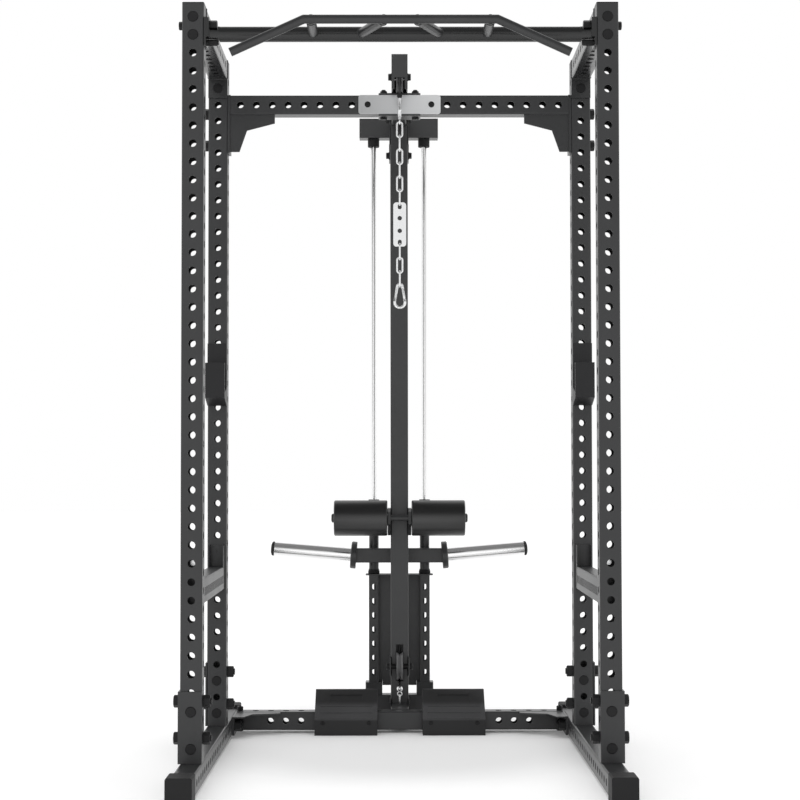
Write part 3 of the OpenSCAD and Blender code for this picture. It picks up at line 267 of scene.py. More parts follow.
def copy_of(node):
    """A welded copy of a node's mesh, as an object of its own."""
    source = frame["nodes"][node]
    piece = bpy.data.objects.new(node + "_piece", source.data.copy())
    bpy.context.scene.collection.objects.link(piece)
    pick(piece)
    bpy.ops.object.mode_set(mode="EDIT")
    bpy.ops.mesh.select_all(action="SELECT")
    bpy.ops.mesh.remove_doubles(threshold=0.00001)
    bpy.ops.mesh.dissolve_limited(angle_limit=math.radians(0.2), delimit={"NORMAL"})
    bpy.ops.object.mode_set(mode="OBJECT")
    return piece


def rounded(node, finish, width, segments=2):
    """A node with its edges rounded and its finish on."""
    piece = copy_of(node)
    bevel(piece, width, segments)
    smooth(piece, 50)
    flatten(piece)
    return finish_piece(piece, node + "_rounded", BODY_OF[node], finish, node)


def smoothed(node, finish, degrees=40):
    """A node with smooth shading and its finish on, for round wire and rod."""
    piece = copy_of(node)
    smooth(piece, degrees)
    return finish_piece(piece, node + "_smooth", BODY_OF[node], finish, node)


def select_faces(piece, test):
    """Enters edit mode with only the faces selected whose centre and normal pass a test."""
    pick(piece)
    bpy.ops.object.mode_set(mode="EDIT")
    bpy.ops.mesh.select_mode(type="FACE")
    bpy.ops.mesh.select_all(action="DESELECT")
    bpy.ops.object.mode_set(mode="OBJECT")
    for face in piece.data.polygons:
        face.select = test(face.center, face.normal)
    bpy.ops.object.mode_set(mode="EDIT")


def second_finish(piece, finish, test):
    """Gives the faces whose centre passes a test a second finish."""
    piece.data.materials.append(material(finish))
    for face in piece.data.polygons:
        if test(face.center):
            face.material_index = 1


# Shader groups


def new_group(name, inputs, outputs):
    """An empty shader group with its sockets. Sockets are (name, type, default)."""
    group = bpy.data.node_groups.new(name, "ShaderNodeTree")
    for socket, kind, default in inputs:
        made = group.interface.new_socket(socket, in_out="INPUT", socket_type=kind)
        made.default_value = default
    for socket, kind, _ in outputs:
        group.interface.new_socket(socket, in_out="OUTPUT", socket_type=kind)
    start = group.nodes.new("NodeGroupInput")
    end = group.nodes.new("NodeGroupOutput")
    start.location, end.location = (-900, 0), (700, 0)
    return group, start, end


def add(tree, kind, x, y, **values):
    """Adds a node, places it and sets its properties and its unlinked inputs."""
    node = tree.nodes.new(kind)
    node.location = (x, y)
    for key, value in values.items():
        if hasattr(node, key):
            setattr(node, key, value)
        else:
            node.inputs[key.replace("_", " ")].default_value = value
    return node


def maths(tree, operation, x, y, first, second=None):
    """A Math node; its two operands are sockets or numbers."""
    node = tree.nodes.new("ShaderNodeMath")
    node.operation = operation
    node.location = (x, y)
    for socket, value in zip(node.inputs, (first, second)):
        if value is None:
            continue
        if isinstance(value, (int, float)):
            socket.default_value = value
        else:
            tree.links.new(value, socket)
    return node.outputs[0]


def grain_group():
    """Orange peel of a powder coat: a fine height and a soft tone that varies along the piece."""
    group, start, end = new_group(
        "Powder grain",
        [("Vector", "NodeSocketVector", (0, 0, 0)), ("Size", "NodeSocketFloat", 700.0)],
        [(name, "NodeSocketFloat", 0) for name in ("Height", "Tone", "Rub")],
    )
    peel = add(group, "ShaderNodeTexNoise", -600, 200, Detail=2.0, Roughness=0.5)
    group.links.new(start.outputs["Vector"], peel.inputs["Vector"])
    group.links.new(start.outputs["Size"], peel.inputs["Scale"])
    grit = add(group, "ShaderNodeTexVoronoi", -600, -50)
    group.links.new(start.outputs["Vector"], grit.inputs["Vector"])
    grit_size = maths(group, "MULTIPLY", -760, -80, start.outputs["Size"], 2.2)
    group.links.new(grit_size, grit.inputs["Scale"])
    fine = maths(group, "MULTIPLY", -450, 0, grit.outputs[0], 0.35)
    height = maths(group, "ADD", -300, 150, peel.outputs[0], fine)
    drift = add(group, "ShaderNodeTexNoise", -600, -300, Scale=3.5, Detail=3.0, Roughness=0.6)
    group.links.new(start.outputs["Vector"], drift.inputs["Vector"])
    rub = add(group, "ShaderNodeTexNoise", -600, -550, Scale=38.0, Detail=4.0, Roughness=0.7)
    group.links.new(start.outputs["Vector"], rub.inputs["Vector"])
    ramp = add(group, "ShaderNodeMapRange", -300, -550, From_Min=0.56, From_Max=0.78)
    group.links.new(rub.outputs[0], ramp.inputs["Value"])
    group.links.new(height, end.inputs["Height"])
    group.links.new(drift.outputs[0], end.inputs["Tone"])
    group.links.new(ramp.outputs[0], end.inputs["Rub"])
    return group


def brushed_group():
    """Fine lines along one axis, as on rolled or brushed metal."""
    group, start, end = new_group(
        "Brushed lines",
        [
            ("Vector", "NodeSocketVector", (0, 0, 0)),
            ("Stretch", "NodeSocketVector", (1.0, 40.0, 40.0)),
        ],
        [(name, "NodeSocketFloat", 0) for name in ("Height", "Tone")],
    )
    stretch = add(group, "ShaderNodeVectorMath", -600, 100, operation="MULTIPLY")
    group.links.new(start.outputs["Vector"], stretch.inputs[0])
    group.links.new(start.outputs["Stretch"], stretch.inputs[1])
    lines = add(group, "ShaderNodeTexNoise", -350, 150, Scale=26.0, Detail=5.0, Roughness=0.65)
    group.links.new(stretch.outputs[0], lines.inputs["Vector"])
    cloud = add(group, "ShaderNodeTexNoise", -350, -150, Scale=9.0, Detail=2.0)
    group.links.new(start.outputs["Vector"], cloud.inputs["Vector"])
    line_tone = maths(group, "MULTIPLY", -150, 80, lines.outputs[0], 0.6)
    cloud_tone = maths(group, "MULTIPLY", -150, -80, cloud.outputs[0], 0.4)
    tone = maths(group, "ADD", 0, 0, line_tone, cloud_tone)
    group.links.new(lines.outputs[0], end.inputs["Height"])
    group.links.new(tone, end.inputs["Tone"])
    return group


def shared_group(name):
    """A shared shader group, built once."""
    builders = {"Powder grain": grain_group, "Brushed lines": brushed_group}
    return bpy.data.node_groups.get(name) or builders[name]()


# Materials

# How far a dull finish's tone and roughness wander from their middle
TONE = 0.35
ROUGHNESS_SPREAD = 0.05


def start_material(name):
    """A material with its Principled shader and its object coordinates."""
    made = bpy.data.materials.new(name)
    made.use_nodes = True
    tree = made.node_tree
    tree.nodes.clear()
    output = add(tree, "ShaderNodeOutputMaterial", 700, 0)
    shader = add(tree, "ShaderNodeBsdfPrincipled", 400, 0)
    coordinates = add(tree, "ShaderNodeTexCoord", -900, 0)
    tree.links.new(shader.outputs[0], output.inputs[0])
    return made, tree, shader, coordinates.outputs["Object"]


def blend_colours(tree, factor, low, high, x=100, y=200):
    """Mixes two colours by a socket."""
    mix = add(tree, "ShaderNodeMix", x, y, data_type="RGBA")
    ends = {"A": (*low, 1.0), "B": (*high, 1.0)}
    for socket in mix.inputs:
        if socket.type == "RGBA":
            socket.default_value = ends[socket.name]
    tree.links.new(factor, mix.inputs["Factor"])
    return next(socket for socket in mix.outputs if socket.type == "RGBA")


def spread(tree, socket, low, high, x=100, y=-100):
    """Maps a 0 to 1 socket on a range."""
    node = add(tree, "ShaderNodeMapRange", x, y, To_Min=low, To_Max=high)
    tree.links.new(socket, node.inputs["Value"])
    return node.outputs[0]


def lift(tint, amount):
    """A colour made lighter by a factor."""
    return tuple(min(1.0, part * amount) for part in tint)


def use_grain(tree, vector, size):
    """Places the powder grain group."""
    node = add(tree, "ShaderNodeGroup", -500, 0)
    node.node_tree = shared_group("Powder grain")
    node.inputs["Size"].default_value = size
    tree.links.new(vector, node.inputs["Vector"])
    return node


def use_bump(tree, shader, height, distance, strength=1.0):
    """Feeds a height to the shader's normal."""
    bump = add(tree, "ShaderNodeBump", 150, -300, Strength=strength, Distance=distance)
    tree.links.new(height, bump.inputs["Height"])
    tree.links.new(bump.outputs[0], shader.inputs["Normal"])


def dull_material(name, tint, roughness, size, depth, specular=0.5):
    """A dark coat, rubber or plastic with grain, soft tone changes and rubbed spots."""
    made, tree, shader, vector = start_material(name)
    grain = use_grain(tree, vector, size)
    darkest, lightest = lift(tint, 1 - TONE), lift(tint, 1 + TONE)
    colours = blend_colours(tree, grain.outputs["Tone"], darkest, lightest)
    tree.links.new(colours, shader.inputs["Base Color"])
    low, high = roughness - ROUGHNESS_SPREAD, roughness + ROUGHNESS_SPREAD
    broad = spread(tree, grain.outputs["Tone"], low, high)
    rubbed = maths(tree, "MULTIPLY", 100, -180, grain.outputs["Rub"], -0.05)
    rough = maths(tree, "ADD", 250, -100, broad, rubbed)
    tree.links.new(rough, shader.inputs["Roughness"])
    shader.inputs["Specular IOR Level"].default_value = specular
    use_bump(tree, shader, grain.outputs["Height"], depth)
    return made


def metal_material(name, tint, low, high, stretch, depth):
    """A bare or plated metal with fine lines."""
    made, tree, shader, vector = start_material(name)
    lines = add(tree, "ShaderNodeGroup", -500, 0)
    lines.node_tree = shared_group("Brushed lines")
    lines.inputs["Stretch"].default_value = stretch
    tree.links.new(vector, lines.inputs["Vector"])
    colours = blend_colours(tree, lines.outputs["Tone"], lift(tint, 0.93), lift(tint, 1.05))
    tree.links.new(colours, shader.inputs["Base Color"])
    tree.links.new(spread(tree, lines.outputs["Tone"], low, high), shader.inputs["Roughness"])
    shader.inputs["Metallic"].default_value = 1.0
    use_bump(tree, shader, lines.outputs["Height"], depth)
    return made


def smooth_ramp(tree, socket, x, y, first, last, low, high):
    """Goes smoothly from low to high while a value goes from first to last."""
    ramp = add(tree, "ShaderNodeMapRange", x, y, interpolation_type="SMOOTHSTEP",
               From_Min=first, From_Max=last, To_Min=low, To_Max=high)
    tree.links.new(socket, ramp.inputs["Value"])
    return ramp.outputs[0]


def paint_light_along(made, axis, first, last, low, high):
    """Paints light or shade into a finish: multiplies its colour by a factor that changes smoothly
    along an object axis.
    """
    tree = made.node_tree
    shader = next(node for node in tree.nodes if node.type == "BSDF_PRINCIPLED")
    place = next(node for node in tree.nodes if node.type == "TEX_COORD").outputs["Object"]
    parts = add(tree, "ShaderNodeSeparateXYZ", -700, 500)
    tree.links.new(place, parts.inputs[0])
    factor = smooth_ramp(tree, parts.outputs[axis], -400, 500, first, last, low, high)
    scaled = add(tree, "ShaderNodeVectorMath", 250, 300, operation="SCALE")
    tree.links.new(shader.inputs["Base Color"].links[0].from_socket, scaled.inputs[0])
    tree.links.new(factor, scaled.inputs["Scale"])
    tree.links.new(scaled.outputs[0], shader.inputs["Base Color"])


# Powder coats: title, colour setting, change to the coat's roughness, grain size and grain depth
COATS = {
    "coat": ("Powder coat", "coat", 0.0, 620.0, 0.00006),
    # A lighter copy of the powder coat, as painted light
    "tower": ("Tower coat", "tower", 0.0, 620.0, 0.00006),
    "rails": ("Rail coat", "coat", -0.08, 620.0, 0.00005),
    # Painted light: a lighter copy of the powder coat for the shaded panel
    "panel": ("Panel coat", "panel", 0.0, 620.0, 0.00006),
    "weld": ("Coated weld", "coat", -0.04, 420.0, 0.00008),
}
# Other dull finishes: title, roughness, grain size, grain depth and specular level
DULLS = {
    # Painted shade: a darker copy of the powder coat, with a glossier finish
    "bars": ("Bar coat", 0.28, 620.0, 0.00005, 0.5),
    "rubber": ("Moulded rubber", 0.6, 420.0, 0.00008, 0.22),
    "foam": ("Roller skin", 0.33, 520.0, 0.00010, 0.86),
    "nylon": ("Moulded nylon", 0.46, 300.0, 0.00004, 0.35),
    "pulley": ("Turned pulley", 0.4, 300.0, 0.00004, 0.5),
    "oxide": ("Black oxide", 0.42, 900.0, 0.00002, 0.25),
    "tread": ("Tread coat", 0.45, 520.0, 0.00008, 0.35),
    "cable": ("Cable sheath", 0.3, 900.0, 0.00003, 0.5),
}
# Metals: title, lowest and highest roughness, stretch of the lines and their depth
METALS = {
    "zinc": ("Bright zinc", 0.2, 0.34, (8.0, 8.0, 8.0), 0.00002),
    "chrome": ("Hard chrome", 0.12, 0.2, (1.0, 30.0, 30.0), 0.000004),
    "steel": ("Brushed plate", 0.28, 0.42, (1.0, 60.0, 60.0), 0.00002),
}
# Painted light as smooth changes of a finish's colour: on the foot plates a lighter band painted
# across the slope where it catches the light, and on the face plate a painted reflection that
# brightens towards its right; axis, where it starts and ends, factor at both places
PAINTED_LIGHT_RAMPS = {
    # Foot plates: a lighter band painted across the slope, painted light
    "tread": (("Z", 0.046, 0.054, 1.0, 3.2), ("Z", 0.086, 0.104, 1.0, 0.32)),
    # Face plate: a painted reflection, brighter towards the right
    "steel": (("X", -0.22, 0.22, 1.03, 1.80),),
}


def make_finish(name):
    """Builds one of the cage's finishes."""
    finish = bpy.context.scene.cage_finish
    if name in COATS:
        title, tint, change, size, depth = COATS[name]
        roughness = finish.coat_roughness + change
        made = dull_material(title, getattr(finish, tint), roughness, size, depth)
    elif name in DULLS:
        made = dull_material(DULLS[name][0], getattr(finish, name), *DULLS[name][1:])
    else:
        made = metal_material(METALS[name][0], getattr(finish, name), *METALS[name][1:])
    # Painted light: the foot plates' lighter band and the face plate's painted reflection
    for tint in PAINTED_LIGHT_RAMPS.get(name, ()):
        paint_light_along(made, *tint)
    return made


MADE = {}


def material(name):
    """A finish by name, built once."""
    if name not in MADE:
        MADE[name] = make_finish(name)
    return MADE[name]


# Operators: the cage's own pieces


def finish_all(nodes, finish, width, segments=2):
    """Rounds and dresses several nodes alike."""
    for node in nodes:
        rounded(node, finish, width, segments)


class CAGE_OT_cage_frame(bpy.types.Operator):
    """Rounds and coats the floor rails, uprights, brackets, top rails and crossmembers"""

    bl_idname = "cage.cage_frame"
    bl_label = "Cage frame"

    def execute(self, context):
        edge = context.scene.cage_sizes.edge
        finish_all(FRAME_NODES, "coat", edge)
        finish_all(("top_rails", "top_flanges"), "rails", edge)
        return {"FINISHED"}


class CAGE_OT_pull_up_bars(bpy.types.Operator):
    """Rounds and coats the pull-up bars and their end plates"""

    bl_idname = "cage.pull_up_bars"
    bl_label = "Pull-up bars"

    def execute(self, context):
        edge = context.scene.cage_sizes.edge
        # The straight bar and its end plates get the darker bar coat, painted shade
        finish_all(("straight_pull_up_bar", "pull_up_brackets"), "bars", edge)
        rounded("multi_grip_bar", "coat", edge)
        return {"FINISHED"}


class CAGE_OT_tower(bpy.types.Operator):
    """Rounds and coats the mast, boom, crosshead, channels and their plates; the mast, boom and
    crosshead get the powder coat made lighter as painted light
    """

    bl_idname = "cage.tower"
    bl_label = "Tower"

    def execute(self, context):
        edge = context.scene.cage_sizes.edge
        finish_all(TOWER_NODES, "tower", edge)
        finish_all(("guide_channels", "channel_plates", "knee_bracket"), "coat", edge)
        # The panel's coat is painted light, lighter than the powder coat where the channels shade it
        rounded("shroud_panel", "panel", edge)
        smoothed("guide_rods", "chrome")
        return {"FINISHED"}


class CAGE_OT_foot_plates(bpy.types.Operator):
    """Rounds the foot plates and gives them their darker coat, with a lighter band painted across
    the slope where it catches the light
    """

    bl_idname = "cage.foot_plates"
    bl_label = "Foot plates"

    def execute(self, context):
        rounded("foot_plates", "tread", context.scene.cage_sizes.edge)
        return {"FINISHED"}


class CAGE_OT_fasteners(bpy.types.Operator):
    """Rounds the bolts, nuts, screws and axles and blackens them"""

    bl_idname = "cage.fasteners"
    bl_label = "Fasteners"

    def execute(self, context):
        edge = context.scene.cage_sizes.edge * 0.6
        finish_all(("frame_bolts", "small_bolts", "button_screws", "pulley_axles"), "oxide", edge)
        return {"FINISHED"}


class CAGE_OT_face_plate(bpy.types.Operator):
    """Rounds the blank face plate and brushes it, with a painted reflection that brightens it
    towards its right
    """

    bl_idname = "cage.face_plate"
    bl_label = "Face plate"

    def execute(self, context):
        rounded("name_plate", "steel", context.scene.cage_sizes.edge * 0.8)
        return {"FINISHED"}


class CAGE_OT_rubber(bpy.types.Operator):
    """Rounds the rubber boots, plugs, buffers and horn caps"""

    bl_idname = "cage.rubber"
    bl_label = "Rubber pieces"

    def execute(self, context):
        edge = context.scene.cage_sizes.soft_edge
        finish_all(("end_caps", "rod_bumpers", "horn_caps"), "rubber", edge, 3)
        return {"FINISHED"}


class CAGE_OT_carriage(bpy.types.Operator):
    """Finishes the carriage, its bushings, its plate horns and their collars; the carriage frame and
    collars get the tower's coat, made lighter as painted light
    """

    bl_idname = "cage.carriage"
    bl_label = "Carriage"

    def execute(self, context):
        edge = context.scene.cage_sizes.edge
        # The tower's coat here is painted light: the powder coat made lighter
        finish_all(("carriage_frame", "horn_collars"), "tower", edge)
        rounded("plate_horns", "chrome", edge * 0.6)
        rounded("carriage_bushings", "nylon", edge)
        return {"FINISHED"}


class CAGE_OT_cups_and_bars(bpy.types.Operator):
    """Finishes the bar cups, the safety bars and their pull pins"""

    bl_idname = "cage.cups_and_bars"
    bl_label = "Bar cups and safety bars"

    def execute(self, context):
        sizes = context.scene.cage_sizes
        finish_all(("j_cup_left", "j_cup_right"), "nylon", sizes.soft_edge, 3)
        rounded("safety_bars", "coat", sizes.edge)
        finish_all(("safety_pin_left", "safety_pin_right"), "zinc", sizes.edge)
        return {"FINISHED"}


class CAGE_OT_pulleys(bpy.types.Operator):
    """Finishes the five grooved pulleys"""

    bl_idname = "cage.pulleys"
    bl_label = "Pulleys"

    def execute(self, context):
        edge = context.scene.cage_sizes.edge * 0.7
        finish_all(PULLEYS, "pulley", edge)
        return {"FINISHED"}


class CAGE_OT_cables(bpy.types.Operator):
    """Sheathes the cable's bends and models its straight runs"""

    bl_idname = "cage.cables"
    bl_label = "Cables"

    def execute(self, context):
        for node in ("cable_over_top", "cable_in_mast", "carriage_cable_loop"):
            smoothed(node, "cable")
        for node, moving in RUNS:
            make_cable_run(node)
        return {"FINISHED"}


def make_cable_run(node):
    """A straight run of cable, modelled as a smooth tube in the place of its node."""
    low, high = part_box(node)
    middle = (low + high) / 2
    deselect()
    bpy.ops.mesh.primitive_cylinder_add(
        vertices=20, radius=(high.x - low.x) / 2, depth=high.z - low.z, location=middle,
    )
    run = bpy.context.object
    bpy.ops.object.mode_set(mode="EDIT")
    bpy.ops.mesh.select_mode(type="EDGE")
    bpy.ops.mesh.select_all(action="DESELECT")
    bpy.ops.object.mode_set(mode="OBJECT")
    for edge in run.data.edges:
        ends = [run.data.vertices[index].co.z for index in edge.vertices]
        edge.select = abs(ends[0] - ends[1]) > SAME_PLACE
    bpy.ops.object.mode_set(mode="EDIT")
    bpy.ops.mesh.subdivide(number_cuts=11)
    bpy.ops.object.mode_set(mode="OBJECT")
    settle(run)
    smooth(run)
    run.name = node + "_run"
    run.data.name = run.name
    run.data.materials.clear()
    run.data.materials.append(material("cable"))
    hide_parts(node)
    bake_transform(run)


class CAGE_OT_chain_and_hooks(bpy.types.Operator):
    """Finishes the cable's end, the chain with its tag, the snap hook and the row end"""

    bl_idname = "cage.chain_and_hooks"
    bl_label = "Chain and hooks"

    def execute(self, context):
        edge = context.scene.cage_sizes.edge
        for node in ("chain", "carabiner", "carabiner_gate", "row_hook"):
            smoothed(node, "zinc")
        rounded("chain_tag", "zinc", edge)
        end = smoothed("cable_end", "zinc")
        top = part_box("cable_end")[1].z
        second_finish(end, "rubber", lambda place: place.z > top - STOP_BALL)
        row = smoothed("row_end", "zinc")
        above_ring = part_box("row_hook")[1].z + ROW_SHEATH
        behind_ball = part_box("row_end")[1].y - ROW_SHEATH
        second_finish(row, "cable", lambda place: place.z > above_ring or place.y > behind_ball)
        return {"FINISHED"}


class CAGE_OT_knee_rollers(bpy.types.Operator):
    """Models the two foam knee rollers with rounded rims, welted ends and an open bore"""

    bl_idname = "cage.knee_rollers"
    bl_label = "Knee rollers"

    def execute(self, context):
        rim = context.scene.cage_sizes.roller_edge
        for side in ("left", "right"):
            make_roller("knee_roller_" + side, rim)
        return {"FINISHED"}


def make_roller(node, rim):
    """One foam roller on its axle: a skinned tube whose ends dish in a little towards the bore."""
    low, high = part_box(node)
    middle = (low + high) / 2
    radius = (high.z - low.z) / 2
    border = rim * 1.6
    welt, welt_depth = 0.0016, 0.0012
    deselect()
    bpy.ops.mesh.primitive_cylinder_add(
        vertices=96, radius=radius, depth=high.x - low.x, location=middle,
        rotation=(0, math.pi / 2, 0),
    )
    roller = bpy.context.object
    settle(roller)
    select_faces(roller, lambda place, normal: abs(normal.x) > 0.9)
    bpy.ops.mesh.inset(thickness=border)
    bpy.ops.mesh.inset(thickness=welt, depth=-welt_depth)
    bpy.ops.mesh.inset(thickness=welt, depth=welt_depth)
    bpy.ops.mesh.inset(thickness=radius - border - 2 * welt - ROLLER_BORE_R, depth=-0.002)
    bpy.ops.mesh.delete(type="FACE")
    bpy.ops.mesh.select_mode(type="EDGE")
    bpy.ops.mesh.select_all(action="DESELECT")
    bpy.ops.mesh.select_non_manifold()
    bpy.ops.mesh.bridge_edge_loops()
    bpy.ops.mesh.select_all(action="SELECT")
    bpy.ops.mesh.normals_make_consistent(inside=False)
    bpy.ops.object.mode_set(mode="OBJECT")
    bevel(roller, rim, 5, 80, clamp=False)
    smooth(roller, 30)
    finish_piece(roller, node + "_foam", BODY_OF[node], "foam", node)


class CAGE_OT_welds(bpy.types.Operator):
    """Lays the weld beads where tubes meet plates, gussets, stubs and each other"""

    bl_idname = "cage.welds"
    bl_label = "Weld beads"

    def execute(self, context):
        radius = context.scene.cage_sizes.bead
        runs = tube_welds(radius) + gusset_welds(radius) + bar_welds(radius)
        pick(*runs)
        bpy.ops.object.join()
        welds = bpy.context.object
        smooth(welds, 60)
        finish_piece(welds, "frame_welds", "frame", "weld")
        return {"FINISHED"}


# The two directions across each axis, what a bead leaves free at a tube's corner, and the step
# between ripples as a share of their radius
AXES_ACROSS = {
    "X": ((0, 1, 0), (0, 0, 1)),
    "Y": ((1, 0, 0), (0, 0, 1)),
    "Z": ((1, 0, 0), (0, 1, 0)),
}
TUBE_CORNER = 0.0035
RIPPLE_STEP = 1.15


def weld_run(start, end, radius):
    """A straight bead of overlapping ripples."""
    start = Vector(start)
    run = Vector(end) - start
    count = max(3, round(run.length / (radius * RIPPLE_STEP)))
    deselect()
    bpy.ops.mesh.primitive_uv_sphere_add(segments=8, ring_count=5, radius=radius, location=start)
    ripple = bpy.context.object
    array = ripple.modifiers.new("ripples", "ARRAY")
    array.use_relative_offset = False
    array.use_constant_offset = True
    array.constant_offset_displace = run / (count - 1)
    array.count = count
    apply_all(ripple)
    settle(ripple)
    return ripple


def weld_frame(centre, axis, across, up, radius):
    """Four beads round a rectangular tube that meets a plate square on; axis is the tube's."""
    centre = Vector(centre)
    first, second = [Vector(side) for side in AXES_ACROSS[axis]]
    beads = []
    for side in (-1, 1):
        middle = centre + first * side * across
        reach = second * (up - TUBE_CORNER)
        beads.append(weld_run(middle - reach, middle + reach, radius))
        middle = centre + second * side * up
        reach = first * (across - TUBE_CORNER)
        beads.append(weld_run(middle - reach, middle + reach, radius))
    return beads


def weld_ring(centre, axis, around, radius):
    """A ring of ripples round a bar; axis is the bar's direction."""
    axis = Vector(axis).normalized()
    side = axis.orthogonal().normalized()
    count = max(8, round(2 * math.pi * around / (radius * RIPPLE_STEP)))
    deselect()
    bpy.ops.mesh.primitive_uv_sphere_add(
        segments=8, ring_count=5, radius=radius, location=Vector(centre) + side * around
    )
    ripple = bpy.context.object
    settle(ripple)
    bpy.ops.object.mode_set(mode="EDIT")
    bpy.ops.mesh.select_all(action="SELECT")
    bpy.ops.mesh.spin(steps=count, dupli=True, angle=2 * math.pi, center=centre, axis=axis)
    bpy.ops.mesh.select_all(action="SELECT")
    bpy.ops.mesh.remove_doubles(threshold=0.00002)
    bpy.ops.object.mode_set(mode="OBJECT")
    return ripple


def tube_welds(radius):
    """Beads round the ends of the crossmembers, top rails, floor beam, mast and boom."""
    half = TUBE / 2
    beads = []
    cross_low, cross_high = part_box("rear_crossmember")
    floor_low, floor_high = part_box("floor_crossmember")
    rails_low, rails_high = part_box("top_rails")
    base_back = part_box("tower_base")[1].y - TUBE
    mast_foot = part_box("mast")[0].z
    boom_low, boom_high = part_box("top_boom")
    post_x = cross_high.x + half
    beam_z = floor_low.z + half
    mast_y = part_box("knee_bracket")[1].y - half
    for side in (-1, 1):
        end = side * (cross_high.x - FLANGE)
        beads += weld_frame((end, cross_low.y + half, cross_high.z - half), "X", half, half, radius)
        beads += weld_frame((end, floor_high.y - half, beam_z), "X", half, half, radius)
        for y in (rails_low.y, rails_high.y):
            beads += weld_frame((side * post_x, y, rails_high.z - half), "Y", half, half, radius)
    beads += weld_frame((0, floor_high.y, beam_z), "Y", half, half, radius)
    beads += weld_frame((0, base_back, beam_z), "Y", half, half, radius)
    beads += weld_frame((0, mast_y, mast_foot), "Z", half, half, radius)
    boom_half = BOOM / 2
    boom_z = boom_low.z + boom_half
    beads += weld_frame((0, boom_high.y, boom_z), "Y", boom_half, boom_half, radius)
    return beads


def gusset_welds(radius):
    """Beads along both arms of the corner gussets."""
    cross_low, cross_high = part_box("rear_crossmember")
    floor_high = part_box("floor_crossmember")[1]
    beads = []
    for side in (-1, 1):
        corner_x = side * (cross_high.x - FLANGE)
        inner_x = side * (cross_high.x - FLANGE - GUSSET)
        under = cross_high.z - TUBE
        front = cross_low.y + GUSSET_PLATE
        corner = (corner_x, front, under)
        beads.append(weld_run(corner, (inner_x, front, under), radius))
        beads.append(weld_run(corner, (corner_x, front, under - GUSSET * 0.9), radius))
        edge = floor_high.y - TUBE
        level = floor_high.z - GUSSET_PLATE
        corner = (corner_x, edge, level)
        beads.append(weld_run(corner, (inner_x, edge, level), radius))
        beads.append(weld_run(corner, (corner_x, edge - GUSSET * 0.9, level), radius))
    return beads


def bar_welds(radius):
    """Rings round the stubs at both bars and beads beside the straight bar's notched ends."""
    bar_low, bar_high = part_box("straight_pull_up_bar")
    bar_y = (bar_low.y + bar_high.y) / 2
    bar_z = bar_high.z - BAR_TOP_TO_AXIS
    grip_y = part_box("multi_grip_bar")[0].y + STUB_R
    front = grip_y + 0.010
    back = bar_y - BAR_R + 0.003
    beads = []
    for side in (-1, 1):
        end = side * (bar_high.x - BAR_PLATE)
        for facing in (-1, 1):
            low_end, high_end = [(end, bar_y + facing * out, bar_z + up) for out, up in BAR_END_BEAD]
            beads.append(weld_run(low_end, high_end, radius))
        for at_grip, at_bar in STUB_ENDS:
            slant = Vector((side * (at_bar - at_grip), bar_y - BAR_R / 2 - grip_y, 0))
            for y in (front, back):
                along = (y - grip_y) / slant.y
                centre = (side * at_grip + slant.x * along, y, bar_z)
                beads.append(weld_ring(centre, slant, STUB_R, radius * 0.8))
    return beads


# Studio

# Distances over which the floor's glow changes, from the origin and from the middle of the painted
# shadow round the tower's foot
FLOOR_FADE = (1.2, 5.0)
TOWER_SHADE = (0.4, 0.85)
TOWER_SHADE_AT = (0.0, 0.15, 0.0)
# Heights between which the room's reflection darkens towards the ceiling
CEILING_FADE = (0.55, 0.88)
# Lamps: name, place, width and the setting that holds its power
LAMPS = (
    ("overhead", (0.0, 0.3, 5.0), 3.5, "overhead"),
    ("front", (-1.2, -5.5, 3.0), 2.5, "front"),
)


class CAGE_OT_studio(bpy.types.Operator):
    """Sets up the floor, the backdrop, the lamps and the camera"""

    bl_idname = "cage.studio"
    bl_label = "Studio"

    def execute(self, context):
        settings = context.scene.cage_studio
        make_floor(settings)
        make_world(settings)
        make_lamps(settings)
        make_camera(settings)
        context.scene.view_settings.view_transform = "Standard"
        return {"FINISHED"}


